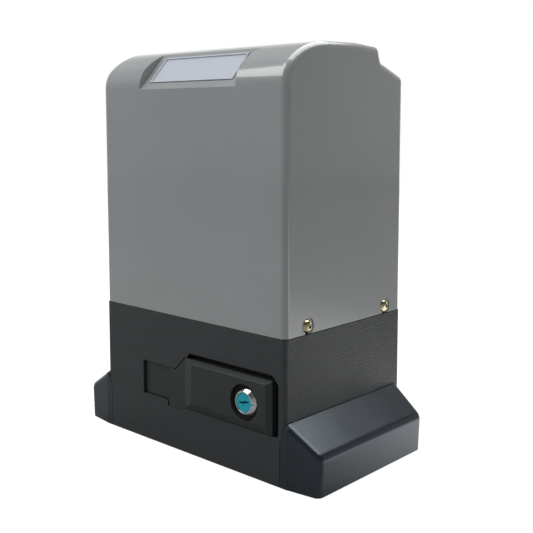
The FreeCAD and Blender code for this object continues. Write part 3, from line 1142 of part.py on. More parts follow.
def build_motor():
    """Flange plate, bells, laminated core, winding heads, rotor, long bolts, bearings."""
    plate = new_body("chamber_plate")
    shape = sketch_on(plate, "XY", DECK)
    rectangle(shape, f"{CHAMBER_LEFT} - 6", f"{WEB_REAR} - 8",
              f"{CHAMBER_RIGHT} + 5.8", f"{BACK} - {REAR_WALL} + 1")
    pad(plate, shape, "8")
    corner_x = (value(f"{CHAMBER_LEFT} - 6"), value(f"{CHAMBER_RIGHT} + 5.8"))
    dress(plate, "Fillet", "5", lambda e: min(abs(e.CenterOfMass.x - x) for x in corner_x) < 0.05
          and e.BoundBox.ZMax - e.BoundBox.ZMin > 7)
    seat = sketch_on(plate, "XY", FLANGE_TOP)
    circle(seat, WORM_X, "wheel_y", f"{BEARING_LARGE['outer']} + {RIM_GAP}")
    pocket(plate, seat, "7")
    hole = sketch_on(plate, "XY", FLANGE_TOP)
    circle(hole, WORM_X, "wheel_y", "shaft_radius + 2")
    pocket(plate, hole, "8")
    holes = sketch_on(plate, "XY", FLANGE_TOP)
    for x, y in PLATE_SCREWS:
        circle(holes, x, y, "2.2")
    circle(holes, *OIL_PLUG, "5.1")
    pocket(plate, holes, "8")
    group("chamber_screws", [hex_bolt(f"chamber_screw_{i}", (x, y, FLANGE_TOP), 2, 15, Vector(0, 0, 1))
                             for i, (x, y) in enumerate(PLATE_SCREWS)])
    keep(hex_bolt("oil_plug_shape", (*OIL_PLUG, FLANGE_TOP), 5, 7, Vector(0, 0, 1)), "oil_plug")

    bell_body("motor_bell_lower", MOTOR_LOW, BEARING_LARGE["outer"], "8", "shaft_radius + 2", True)
    bell_body("motor_bell_upper", CORE_TOP, BEARING_SMALL["outer"], "10", "shaft_nose - 5", False)
    slots_cut = [motor_rod("core_bore_tool", "core_bore", CORE_LOW, "core_height")]
    ears = [rod(f"core_ear_{i}", (f"{WORM_X} + {x}", f"wheel_y + {y}", CORE_LOW), "6", "core_height")
            for i, (x, y) in enumerate(EAR_SPOTS)]
    drills = [rod(f"core_drill_{i}", (f"{WORM_X} + {x}", f"wheel_y + {y}", CORE_LOW), "2.7", "core_height")
              for i, (x, y) in enumerate(EAR_SPOTS)]
    blank = fuse("core_blank", [motor_rod("core_drum", "core_radius", CORE_LOW, "core_height")] + ears)
    keep(cut("stator_core", blank, slots_cut + drills), "stator_core")
    heads = []
    for name, low in (("lower", f"{CORE_LOW} - 12"), ("upper", f"{CORE_TOP}")):
        torus = cut(f"winding_{name}", motor_rod(f"winding_{name}_outer", "core_radius - 6", low, "12"),
                    [motor_rod(f"winding_{name}_inner", "core_bore + 2", low, "12")])
        heads.append(torus)
    group("stator_windings", heads)
    drum = motor_rod("rotor_drum", "core_bore - air_gap", f"{CORE_LOW} - 1", "core_height + 2")
    bore = motor_rod("rotor_bore", "shaft_nose + 1.5", f"{CORE_LOW} - 1", "core_height + 2")
    keep(cut("rotor_core", drum, [bore]),
         "rotor_core")
    bolts = [hex_bolt(f"motor_bolt_{i}", (f"{WORM_X} + {x}", f"wheel_y + {y}", MOTOR_TOP), 2.5,
                      value(f"{MOTOR_TOP} - {MOTOR_LOW}"), Vector(0, 0, 1))
             for i, (x, y) in enumerate(EAR_SPOTS)]
    group("motor_bolts", bolts)
    ring("worm_bearing_lower", WORM_X, "wheel_y", "5", "z",
         "shaft_nose + running_gap", BEARING_SMALL["outer"],
         BEARING_SMALL["width"])
    ring("worm_bearing_upper", WORM_X, "wheel_y", f"{DECK} + 1", "z", "shaft_radius + running_gap",
         BEARING_LARGE["outer"], BEARING_LARGE["width"])
    ring("rotor_bearing_top", WORM_X, "wheel_y", TOP_BEARING, "z", "shaft_nose + running_gap",
         BEARING_SMALL["outer"], BEARING_SMALL["width"])


build_worm()
build_motor()


# ---------------------------------------------------------------- electrics under the cover
def build_capacitor():
    """Run capacitor can with two blade terminals, held by a strap with a foot."""
    x, y = f"({CHAMBER_LEFT} + 18)", "(wheel_y + 8)"
    can = rod("capacitor_can", (x, y, FLANGE_TOP), "capacitor_radius", "capacitor_height")
    top = f"({FLANGE_TOP} + capacitor_height)"
    blades = [solid_box(f"capacitor_blade_{i}", (f"{x} + {dx} - 3.2", f"{y} - 0.4", top),
                        (f"{x} + {dx} + 3.2", f"{y} + 0.4", f"{top} + 9")) for i, dx in enumerate((-8, 8))]
    keep(fuse("run_capacitor", [can] + blades), "run_capacitor")
    strap_z = f"({FLANGE_TOP} + 30)"
    outside = rod("strap_outside", (x, y, strap_z), "capacitor_radius + 1.5", "12")
    post = solid_box("strap_post", (f"{x} - 6", f"{y} + capacitor_radius", FLANGE_TOP),
                     (f"{x} + 6", f"{y} + capacitor_radius + 1.5", f"{strap_z} + 12"))
    foot = solid_box("strap_foot", (f"{x} - 6", f"{y} + capacitor_radius", FLANGE_TOP),
                     (f"{x} + 6", f"{y} + capacitor_radius + 12", f"{FLANGE_TOP} + 1.5"))
    hole = rod("strap_hole", (x, y, FLANGE_TOP), "capacitor_radius", "60")
    keep(cut("capacitor_strap", fuse("strap_blank", [outside, post, foot]), [hole]), "capacitor_strap")


BOARD_Y = "(-board_thick - 7)"                   # front face of the circuit board
TRAY_Z = f"({MOTOR_TOP} + 6)"


def build_electronics():
    """Tray on posts over the motor, upright board, transformer, relays, terminals."""
    tray = new_body("board_tray")
    floor = sketch_on(tray, "XY", TRAY_Z)
    wide = "(board_width / 2 + 4)"
    rectangle(floor, "-" + wide, "-4", wide, "44")
    pad(tray, floor, "2.5")
    upright = sketch_on(tray, "XY", TRAY_Z)
    rectangle(upright, "-" + wide, "-4", wide, "-1.5")
    pad(tray, upright, f"board_low + board_height - {TRAY_Z} + 2")
    posts = sketch_on(tray, "XY", MOTOR_TOP)
    for x in (f"{WORM_X} - 30", f"{WORM_X} + 30"):
        for y in ("wheel_y + 4", "wheel_y + 26"):
            circle(posts, x, y, "5")
    pad(tray, posts, f"{TRAY_Z} - {MOTOR_TOP}")
    bosses = sketch_on(tray, "XZ", "4")
    spots = [(x, z) for x in ("-board_width / 2 + 6", "board_width / 2 - 6")
             for z in ("board_low + 6", "board_low + board_height - 6")]
    for x, z in spots:
        circle(bosses, x, z, "3.5")
    pad(tray, bosses, "3")
    ribs = sketch_on(tray, "YZ")
    outline(ribs, [("-1.6", f"{TRAY_Z} + 2.4"), ("28", f"{TRAY_Z} + 2.4"), ("-1.6", f"{TRAY_Z} + 50")])
    rib = pad(tray, ribs, "2.5", Midplane=True)
    repeat(tray, rib, "LinearPattern", Direction=(ribs, ["N_Axis"]), Length=value("board_width / 2"),
           Occurrences=2)

    board = solid_box("board_blank", ("-board_width / 2", BOARD_Y, "board_low"),
                      ("board_width / 2", "-7", "board_low + board_height"))
    drills = [rod(f"board_drill_{i}", (x, BOARD_Y, z), "1.7", "board_thick", "y")
              for i, (x, z) in enumerate(spots)]
    keep(cut("control_board", board, drills), "control_board")
    screws = []
    for i, (x, z) in enumerate(spots):
        screws.append(fuse(f"board_screw_{i}", [
            rod(f"board_screw_head_{i}", (x, f"{BOARD_Y} - 2", z), "3", "2", "y"),
            rod(f"board_screw_shank_{i}", (x, BOARD_Y, z), "1.6", "board_thick", "y")]))
    group("board_screws", screws)

    core_y = f"({BOARD_Y} - 30)"
    laminations = solid_box("transformer_core", ("-62", f"{core_y} + 6", "board_low + 30"),
                            ("-16", f"{core_y} + 26", "board_low + 70"))
    bobbin = solid_box("transformer_bobbin", ("-54", core_y, "board_low + 34"),
                       ("-24", BOARD_Y, "board_low + 66"))
    keep(fuse("transformer", [laminations, bobbin]), "transformer")
    relays = [solid_box(f"relay_{i}", (f"{10 + 20 * i}", f"{BOARD_Y} - 15.5", "board_low + 48"),
                        (f"{25.5 + 20 * i}", BOARD_Y, "board_low + 67")) for i in range(3)]
    group("relays", relays)
    strip = new_body("terminal_strip")
    block = sketch_on(strip, "XZ", f"-{BOARD_Y}")
    rectangle(block, "-60", "board_low + 3", "60", "board_low + 17")
    pad(strip, block, "11")
    wells = sketch_on(strip, "XZ", f"-{BOARD_Y} + 11")
    circle(wells, "-56", "board_low + 13", "1.9")
    well = pocket(strip, wells, "4")
    repeat(strip, well, "LinearPattern", Direction=(wells, ["H_Axis"]), Length=112, Occurrences=15)


def build_limit_switch():
    """Case on the chamber plate with a sprung arm that the rack's stop plates push."""
    pivot_y = f"({BACK} - 16)"
    case = solid_box("limit_case_block", ("output_x - 17", f"{pivot_y} - 14", FLANGE_TOP),
                     ("output_x + 17", f"{BACK} - 7", f"{LIMIT_Z} + 8"))
    mouth = solid_box("limit_case_mouth", ("output_x - 13", f"{pivot_y} - 7", f"{LIMIT_Z} - 4"),
                      ("output_x + 13", f"{BACK} - 6", f"{LIMIT_Z} + 4"))
    bore = rod("limit_case_bore", ("output_x", pivot_y, f"{LIMIT_Z} - 6.5"), f"1.5 + {RIM_GAP}", "16")
    keep(cut("limit_switch_case", case, [mouth, bore]), "limit_switch_case")
    keep(rod("limit_pin", ("output_x", pivot_y, f"{LIMIT_Z} - 6.5"), "1.5", "14"), "limit_pivot_pin")
    hub = rod("limit_hub", ("output_x", pivot_y, f"{LIMIT_Z} - 3.6"), "5.5", "7.2")
    reach = f"({BACK} + limit_reach)"
    arm = rod("limit_arm", ("output_x", pivot_y, LIMIT_Z), "limit_rod", f"{reach} - {pivot_y}", "y")
    tip = document.addObject("Part::Sphere", "limit_tip")
    bind(tip, Radius="limit_rod")
    for name, term in zip("xyz", ("output_x", reach, LIMIT_Z)):
        tip.setExpression("Placement.Base." + name, spell(term))
    hole = rod("limit_hub_bore", ("output_x", pivot_y, f"{LIMIT_Z} - 4"), "1.5 + running_gap", "9")
    keep(cut("limit_spring_arm", fuse("limit_arm_blank", [hub, arm, tip]), [hole]), "limit_spring_arm")


build_capacitor()
build_electronics()
build_limit_switch()
levellers = []
for across in (-1, 1):
    for deep in (-1, 1):
        name = f"leveller_{across + 1}_{deep + 1}"
        x, y = f"{across} * slot_spacing_across / 2", f"{deep} * level_spacing / 2"
        stud = rod(name, (x, y, "0.3"), "level_screw / 2 - running_gap", "22")
        grip = document.addObject("Part::Prism", name + "_hex")
        bind(grip, Circumradius="2.3", Height="5")
        for axis, term in zip("xyz", (x, y, "17.4")):
            grip.setExpression("Placement.Base." + axis, spell(term))
        levellers.append(cut(name, stud, [grip]))
group("levelling_screws", levellers)


# ---------------------------------------------------------------- checks and output
document.recompute()
for thing in document.Objects:
    if any(word in ("Invalid", "Error") for word in thing.State):
        raise RuntimeError(f"{thing.Name} ({thing.Label}) failed: {thing.State}")
for thing in sub_parts:
    if thing.Shape.isNull() or not thing.Shape.isValid() or not thing.Shape.Solids:
        raise RuntimeError(f"{thing.Label} has no valid solid")
for thing in sub_parts:
    thing.Shape.exportStep(f"parts/{thing.Label}.step")
    print(f"{thing.Label}: {len(thing.Shape.Solids)} solid(s), {thing.Shape.Volume / 1000:.1f} cm3")
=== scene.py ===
import logging
import math
from dataclasses import dataclass
from enum import Enum
from typing import Callable, Optional

import bpy
import numpy as np
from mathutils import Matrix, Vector


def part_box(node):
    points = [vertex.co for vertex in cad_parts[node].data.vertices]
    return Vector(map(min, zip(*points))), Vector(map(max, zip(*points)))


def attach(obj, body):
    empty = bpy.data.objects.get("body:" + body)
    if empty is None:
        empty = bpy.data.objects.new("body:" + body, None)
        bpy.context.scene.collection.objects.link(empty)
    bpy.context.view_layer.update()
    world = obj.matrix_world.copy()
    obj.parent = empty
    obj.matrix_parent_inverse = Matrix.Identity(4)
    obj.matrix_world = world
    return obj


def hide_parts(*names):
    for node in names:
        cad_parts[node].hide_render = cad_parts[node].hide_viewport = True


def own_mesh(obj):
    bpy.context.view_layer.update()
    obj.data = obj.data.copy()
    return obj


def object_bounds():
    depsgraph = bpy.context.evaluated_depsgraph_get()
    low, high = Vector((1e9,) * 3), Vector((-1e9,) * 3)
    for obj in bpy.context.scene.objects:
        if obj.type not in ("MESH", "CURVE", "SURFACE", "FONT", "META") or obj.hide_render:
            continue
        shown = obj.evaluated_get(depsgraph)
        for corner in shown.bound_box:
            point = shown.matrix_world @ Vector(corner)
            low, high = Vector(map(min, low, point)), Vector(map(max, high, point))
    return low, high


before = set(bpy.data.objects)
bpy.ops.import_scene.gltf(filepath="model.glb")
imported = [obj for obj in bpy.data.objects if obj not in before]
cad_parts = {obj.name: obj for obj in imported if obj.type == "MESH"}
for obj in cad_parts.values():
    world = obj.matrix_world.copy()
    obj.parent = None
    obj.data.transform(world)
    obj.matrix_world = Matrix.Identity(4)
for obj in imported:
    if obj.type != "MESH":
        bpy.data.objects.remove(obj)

CAD_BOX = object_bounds()
LOG = logging.getLogger("gate_motor")
MM = 0.001
FULL_TURN = 2 * math.pi
WHITE = (1.0, 1.0, 1.0, 1.0)
Colour = tuple[float, float, float]
Place = tuple[float, float, float]
Span = tuple[float, float]
Axes = tuple[np.ndarray, np.ndarray, np.ndarray]
Mesh = tuple[np.ndarray, np.ndarray]


class Texture(Enum):
    """Which fine relief the surface of a finish has."""

    SMOOTH = "smooth"
    MOULDED = "moulded"
    POWDER = "powder"
    CAST = "cast"
    TURNED = "turned"


COARSE_SHARE = {Texture.MOULDED: 0.3, Texture.POWDER: 0.9, Texture.CAST: 1.4}


def linear(red: float, green: float, blue: float) -> Colour:
    """Turns a display colour into the linear one that a shader takes.

    Args:
        red: red from 0 to 255.
        green: green from 0 to 255.
        blue: blue from 0 to 255.

    Returns:
        The linear colour. Each channel is ((c + 0.055) / 1.055) to the power 2.4, or c / 12.92 near black.
    """
    parts = np.array([red, green, blue]) / 255.0
    curved = ((parts + 0.055) / 1.055) ** 2.4
    return tuple(float(c) for c in np.where(parts < 0.04045, parts / 12.92, curved))


class Graph:
    """Adds nodes to one tree, in a material, a world or a group, and wires them."""

    def __init__(self, tree: bpy.types.NodeTree) -> None:
        """Takes the tree that the nodes go into."""
        self.tree = tree

    def fill(self, target: bpy.types.Node, inputs: dict) -> None:
        """Links or sets a node's inputs.

        Args:
            target: the node.
            inputs: values or output sockets, by the input's name or index.
        """
        for name, given in inputs.items():
            if isinstance(given, bpy.types.NodeSocket):
                self.tree.links.new(given, target.inputs[name])
            else:
                target.inputs[name].default_value = given

    def node(self, kind: str, inputs: Optional[dict] = None, **settings: object) -> bpy.types.Node:
        """Adds a node.

        Args:
            kind: the node's type, without the leading "ShaderNode".
            inputs: values or output sockets, by the input's name or index.
            settings: properties of the node itself.

        Returns:
            The new node.
        """
        made = self.tree.nodes.new(kind if kind.startswith("Node") else "ShaderNode" + kind)
        for name, setting in settings.items():
            setattr(made, name, setting)
        self.fill(made, inputs or {})
        return made

    def group(self, tree: bpy.types.NodeTree, inputs: dict) -> bpy.types.NodeSocket:
        """Places a shared effect with its inputs and returns its output."""
        return self.node("Group", inputs, node_tree=tree).outputs[0]

    def maths(self, operation: str, *terms: object) -> bpy.types.NodeSocket:
        """Adds a Math node and returns its output."""
        return self.node("Math", dict(enumerate(terms)), operation=operation).outputs[0]

    def remap(self, given: bpy.types.NodeSocket, low: float, high: float, start: float,
              end: float) -> bpy.types.NodeSocket:
        """Maps low..high to start..end, held at both ends, and returns the output."""
        return self.node("MapRange", {0: given, 1: low, 2: high, 3: start, 4: end}).outputs[0]


def effect_group(name: str, inputs: list[tuple[str, str, object]], output: tuple[str, str],
                 wire: Callable[[Graph, bpy.types.Node], bpy.types.NodeSocket]) -> bpy.types.NodeTree:
    """Builds one shared effect as a node group.

    Args:
        name: the group's name.
        inputs: each input's name, socket type and default.
        output: the output's name and socket type.
        wire: makes the nodes between the group's input node and the socket it returns.

    Returns:
        The finished group.
    """
    tree = bpy.data.node_groups.new(name, "ShaderNodeTree")
    for label, kind, start in inputs:
        socket = tree.interface.new_socket(name=label, in_out="INPUT", socket_type=kind)
        if kind != "NodeSocketVector":
            socket.default_value = start
    tree.interface.new_socket(name=output[0], in_out="OUTPUT", socket_type=output[1])
    graph = Graph(tree)
    entry = graph.node("NodeGroupInput")
    graph.node("NodeGroupOutput", {output[0]: wire(graph, entry)})
    return tree


@dataclass
class Effects:
    """The node groups that the finishes share.

    Scales are in waves or cells for each metre, and details are layers of noise. The fields set what no
    finish changes.
    """

    drift_detail: float = 4.0
    grain_detail: float = 3.0
    cell_share: float = 0.45
    dust_colour: tuple[float, float, float, float] = (0.35, 0.33, 0.3, 1.0)
    dust_facing: Span = (0.35, 1.0)
    dust_scale: float = 60.0
    dust_detail: float = 6.0
    dust_limits: Span = (0.35, 0.75)
    dust_least: float = 0.3
    ring_share: float = 0.4
    ring_scale: float = 700.0
    ring_detail: float = 2.0
    smudge_scale: float = 35.0
    smudge_detail: float = 5.0
    smudge_bend: float = 0.6

    def __post_init__(self) -> None:
        """Builds every group once."""
        number, point, tint = "NodeSocketFloat", "NodeSocketVector", "NodeSocketColor"
        place, colour = ("Vector", point, None), ("Color", tint, WHITE)
        self.drift = effect_group(
            "tone_drift", [place, colour, ("Scale", number, 8.0), ("Amount", number, 0.05)],
            ("Color", tint), self._wire_drift)
        self.grain = effect_group(
            "moulded_grain", [place, ("Scale", number, 2500.0), ("Coarse", number, 0.3)],
            ("Height", number), self._wire_grain)
        self.dust = effect_group(
            "settled_dust", [place, colour, ("Dust", tint, self.dust_colour), ("Amount", number, 0.1)],
            ("Color", tint), self._wire_dust)
        self.rings = effect_group(
            "turned_rings", [place, ("Scale", number, 900.0)], ("Height", number), self._wire_rings)
        self.wear = effect_group(
            "handled_gloss", [place, ("Roughness", number, 0.5), ("Spread", number, 0.08)],
            ("Roughness", number), self._wire_wear)

    def _wire_drift(self, graph: Graph, entry: bpy.types.Node) -> bpy.types.NodeSocket:
        """Wires a slow change of tone.

        Args:
            graph: the group's graph.
            entry: the group's input node.

        Returns:
            The colour times one plus or minus a slow noise.
        """
        noise = graph.node("TexNoise", {"Vector": entry.outputs["Vector"], "Scale": entry.outputs["Scale"],
                                        "Detail": self.drift_detail})
        centred = graph.maths("SUBTRACT", noise.outputs[0], 0.5)
        swing = graph.maths("MULTIPLY", centred, entry.outputs["Amount"])
        factor = graph.maths("MULTIPLY_ADD", swing, 2.0, 1.0)
        return graph.node("VectorMath", {0: entry.outputs["Color"], "Scale": factor},
                          operation="SCALE").outputs[0]

    def _wire_grain(self, graph: Graph, entry: bpy.types.Node) -> bpy.types.NodeSocket:
        """Wires the grain that a spark-eroded mould or a powder coat leaves.

        Args:
            graph: the group's graph.
            entry: the group's input node.

        Returns:
            Fine noise plus a share of rounded cells.
        """
        fine = graph.node("TexNoise", {"Vector": entry.outputs["Vector"], "Scale": entry.outputs["Scale"],
                                       "Detail": self.grain_detail})
        wider = graph.maths("MULTIPLY", entry.outputs["Scale"], self.cell_share)
        cells = graph.node("TexVoronoi", {"Vector": entry.outputs["Vector"], "Scale": wider})
        share = graph.maths("MULTIPLY", cells.outputs["Distance"], entry.outputs["Coarse"])
        return graph.maths("ADD", fine.outputs[0], share)

    def _wire_dust(self, graph: Graph, entry: bpy.types.Node) -> bpy.types.NodeSocket:
        """Wires dust on faces that look up, broken by noise.

        Args:
            graph: the group's graph.
            entry: the group's input node.

        Returns:
            The colour, mixed with the dust's where dust lies.
        """
        facing = graph.node("SeparateXYZ", {0: graph.node("NewGeometry").outputs["Normal"]})
        level = graph.remap(facing.outputs["Z"], *self.dust_facing, 0.0, 1.0)
        patches = graph.node("TexNoise", {"Vector": entry.outputs["Vector"], "Scale": self.dust_scale,
                                          "Detail": self.dust_detail})
        broken = graph.remap(patches.outputs[0], *self.dust_limits, self.dust_least, 1.0)
        share = graph.maths("MULTIPLY", graph.maths("MULTIPLY", level, broken), entry.outputs["Amount"])
        mix = graph.node("Mix", {0: share, 6: entry.outputs["Color"], 7: entry.outputs["Dust"]},
                         data_type="RGBA")
        return mix.outputs[2]

    def _wire_rings(self, graph: Graph, entry: bpy.types.Node) -> bpy.types.NodeSocket:
        """Wires close lines across the local z, as a lathe tool leaves.

        Args:
            graph: the group's graph.
            entry: the group's input node.

        Returns:
            A share of the sine of z times the scale, plus noise.
        """
        place = graph.node("SeparateXYZ", {0: entry.outputs["Vector"]})
        wave = graph.maths("SINE", graph.maths("MULTIPLY", place.outputs["Z"], entry.outputs["Scale"]))
        noise = graph.node("TexNoise", {"Vector": entry.outputs["Vector"], "Scale": self.ring_scale,
                                        "Detail": self.ring_detail})
        return graph.maths("ADD", graph.maths("MULTIPLY", wave, self.ring_share), noise.outputs[0])

    def _wire_wear(self, graph: Graph, entry: bpy.types.Node) -> bpy.types.NodeSocket:
        """Wires the smudged gloss of a handled surface.

        Args:
            graph: the group's graph.
            entry: the group's input node.

        Returns:
            The roughness plus or minus a bent noise.
        """
        smudge = graph.node("TexNoise", {"Vector": entry.outputs["Vector"], "Scale": self.smudge_scale,
                                         "Detail": self.smudge_detail, "Distortion": self.smudge_bend})
        swing = graph.maths("MULTIPLY", graph.maths("SUBTRACT", smudge.outputs[0], 0.5),
                            entry.outputs["Spread"])
        return graph.maths("ADD", graph.maths("MULTIPLY", swing, 2.0), entry.outputs["Roughness"])


@dataclass(frozen=True)
class Finish:
    """One material's numbers, and how to turn them into a material.

    Lengths are in metres, and colours are linear.
    """

    name: str
    colour: Colour
    roughness: float = 0.5
    metallic: float = 0.0
    texture: Texture = Texture.MOULDED
    grain: float = 2200.0
    depth: float = 0.00002
    drift: float = 0.03
    drift_scale: float = 9.0
    dust: float = 0.0
    coat: float = 0.0
    coat_roughness: float = 0.12
    specular: float = 0.5
    sheen_colour: Colour = (1.0, 1.0, 1.0)
    gloss_spread: float = 0.05
    edge: float = 0.0004
    edge_samples: int = 6

    def material(self, effects: Effects) -> bpy.types.Material:
        """Builds the node material.

        Args:
            effects: the shared groups.

        Returns:
            A material whose colour, roughness and bump come from its nodes.
        """
        made = bpy.data.materials.new(self.name)
        made.use_nodes = True
        made.diffuse_color = (*self.colour, 1.0)
        graph = Graph(made.node_tree)
        place = graph.node("TexCoord").outputs["Object"]
        tone = graph.group(effects.drift, {"Vector": place, "Color": (*self.colour, 1.0),
                                           "Scale": self.drift_scale, "Amount": self.drift})
        if self.dust:
            tone = graph.group(effects.dust, {"Vector": place, "Color": tone, "Amount": self.dust})
        gloss = graph.group(effects.wear, {"Vector": place, "Roughness": self.roughness,
                                           "Spread": self.gloss_spread})
        normal = graph.node("Bevel", {"Radius": self.edge}, samples=self.edge_samples).outputs[0]
        if self.texture is not Texture.SMOOTH:
            height = self._height(graph, effects, place)
            normal = graph.node("Bump", {"Height": height, "Distance": self.depth, "Strength": 1.0,
                                         "Normal": normal}).outputs[0]
        graph.fill(made.node_tree.nodes["Principled BSDF"], {
            "Base Color": tone, "Roughness": gloss, "Metallic": self.metallic, "Coat Weight": self.coat,
            "Coat Roughness": self.coat_roughness, "Specular IOR Level": self.specular,
            "Specular Tint": (*self.sheen_colour, 1.0), "Normal": normal})
        return made

    def _height(self, graph: Graph, effects: Effects, place: bpy.types.NodeSocket) -> bpy.types.NodeSocket:
        """Adds the relief that the texture has.

        Args:
            graph: the material's graph.
            effects: the shared groups.
            place: the coordinates that the relief is laid out in.

        Returns:
            The relief's height.
        """
        if self.texture is Texture.TURNED:
            return graph.group(effects.rings, {"Vector": place, "Scale": self.grain})
        return graph.group(effects.grain, {"Vector": place, "Scale": self.grain,
                                           "Coarse": COARSE_SHARE[self.texture]})


COVER_GREY = Finish("cover_moulding", linear(127, 130, 131), roughness=0.3, grain=1600.0, drift=0.12,
                    dust=0.04, coat=1.0, coat_roughness=0.08, edge=0.0009)
CHARCOAL_CAST = Finish("charcoal_powder_coat", linear(41, 44, 46), roughness=0.48, texture=Texture.POWDER,
                       grain=1300.0, depth=0.00036, drift=0.14, dust=0.03, specular=0.45, edge=0.0006)
LEVER_CHARCOAL = Finish("charcoal_moulding", linear(37, 40, 41), roughness=0.42, grain=1400.0, depth=0.00003,
                        drift=0.08, specular=0.4, edge=0.0005)
FOOT_BLACK = Finish("black_moulding", linear(22, 24, 28), roughness=0.22, depth=0.000012, drift=0.06,
                    specular=0.75, sheen_colour=(0.72, 0.87, 1.0), edge=0.0008)
PALE_FIELD = Finish("pale_panel", linear(156, 161, 170), roughness=0.4, texture=Texture.SMOOTH, drift=0.02)
YELLOW_ZINC = Finish("yellow_zinc_plate", linear(198, 190, 156), roughness=0.12, metallic=1.0,
                     texture=Texture.SMOOTH, drift=0.03, gloss_spread=0.03, edge=0.0003)
CHROME = Finish("polished_chrome", linear(214, 216, 218), roughness=0.09, metallic=1.0,
                texture=Texture.SMOOTH, drift=0.02, gloss_spread=0.03, edge=0.0003)
TEAL = Finish("teal_plug", linear(22, 146, 162), roughness=0.38, depth=0.000006, specular=0.3)
GROUND_STEEL = Finish("ground_steel", linear(168, 170, 172), roughness=0.28, metallic=1.0,
                      texture=Texture.TURNED, grain=2600.0, depth=0.000006, drift=0.05)
GEAR_STEEL = Finish("cut_gear_steel", linear(150, 152, 155), roughness=0.36, metallic=1.0,
                    grain=1800.0, depth=0.00001, drift=0.08)
ZINC = Finish("bright_zinc", linear(190, 192, 188), roughness=0.26, metallic=1.0, grain=900.0,
              depth=0.000006, drift=0.1, gloss_spread=0.12)
CAST_ALUMINIUM = Finish("cast_aluminium", linear(176, 178, 180), roughness=0.48, metallic=1.0,
                        texture=Texture.CAST, grain=900.0, depth=0.00005, drift=0.07)
TIN_BRONZE = Finish("tin_bronze", linear(196, 150, 88), roughness=0.32, metallic=1.0, grain=1800.0,
                    depth=0.00001, drift=0.08)
COPPER = Finish("varnished_copper", linear(188, 106, 60), roughness=0.3, metallic=1.0,
                texture=Texture.TURNED, grain=5200.0, depth=0.0001, drift=0.12, coat=0.6)
LAMINATION = Finish("stacked_steel", linear(92, 92, 94), roughness=0.5, metallic=0.9,
                    texture=Texture.TURNED, grain=9000.0, depth=0.00005, drift=0.1)
NITRILE = Finish("nitrile_rubber", linear(30, 30, 31), roughness=0.7, grain=1500.0)
GASKET = Finish("gasket_sheet", linear(92, 100, 94), roughness=0.8, texture=Texture.POWDER, grain=2500.0)
BOARD = Finish("solder_mask", linear(24, 92, 50), roughness=0.3, texture=Texture.SMOOTH, drift=0.1,
               coat=0.4)
BLACK_NYLON = Finish("black_nylon", linear(34, 35, 37), roughness=0.5, grain=1800.0)
RELAY_BLUE = Finish("relay_blue", linear(48, 78, 142), roughness=0.35, depth=0.000005)
TERMINAL_GREEN = Finish("terminal_green", linear(60, 132, 82), roughness=0.45)
CAN_WHITE = Finish("white_can", linear(206, 206, 202), roughness=0.35, depth=0.000005)


class Dresser:
    """Holds the made materials and puts them on CAD nodes and new pieces."""

    def __init__(self, effects: Effects) -> None:
        """Takes the shared effects."""
        self.effects = effects
        self.made: dict[str, bpy.types.Material] = {}

    def material(self, finish: Finish) -> bpy.types.Material:
        """Finds or builds a finish's material.

        Args:
            finish: the finish.

        Returns:
            Its material, built at its first use.
        """
        if finish.name not in self.made:
            self.made[finish.name] = finish.material(self.effects)
        return self.made[finish.name]

    def dress(self, finish: Finish, *names: str) -> None:
        """Gives CAD nodes their finish.

        Args:
            finish: what they are made of.
            names: the nodes' names.
        """
        for name in names:
            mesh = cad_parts[name].data
            mesh.materials.clear()
            mesh.materials.append(self.material(finish))
            LOG.info("dressed %s with %s", name, finish.name)

    def piece(self, name: str, points: np.ndarray, faces: np.ndarray, finish: Finish, body: str) -> bpy.types.Object:
        """Makes a new piece from arrays.

        Args:
            name: the piece's name.
            points: one row of x, y, z for each vertex, in metres.
            faces: one row of four vertex numbers for each face, turned outwards; a triangle repeats its
                last number.
            finish: what it is made of.
            body: the body it moves with.

        Returns:
            The new object.
        """
        mesh = bpy.data.meshes.new(name)
        triangles = faces[:, 2] == faces[:, 3]
        rows = faces[~triangles].tolist() + faces[triangles, :3].tolist()
        mesh.from_pydata(points.tolist(), [], rows)
        mesh.polygons.foreach_set("use_smooth", np.ones(len(mesh.polygons), dtype=bool))
        mesh.materials.append(self.material(finish))
        mesh.update()
        made = bpy.data.objects.new(name, mesh)
        bpy.context.scene.collection.objects.link(made)
        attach(made, body)
        LOG.info("made %s: %d faces, on %s", name, len(faces), body)
        return made


def grid_faces(rows: int, columns: int, wrap_rows: bool, wrap_columns: bool) -> np.ndarray:
    """Numbers the quads of a grid of vertices.

    Args:
        rows: how many rows of vertices there are.
        columns: how many vertices each row has.
        wrap_rows: whether the last row joins the first.
        wrap_columns: whether the last column joins the first.

    Returns:
        One row of four numbers for each quad. Quad (i, j) takes vertices (i, j), (i, j + 1),
        (i + 1, j + 1) and (i + 1, j), each counted as i times columns plus j.
    """
    i, j = np.meshgrid(np.arange(rows if wrap_rows else rows - 1),
                       np.arange(columns if wrap_columns else columns - 1), indexing="ij")
    up, across = (i + 1) % rows, (j + 1) % columns
    corners = np.stack([i * columns + j, i * columns + across, up * columns + across, up * columns + j], -1)
    return corners.reshape(-1, 4)


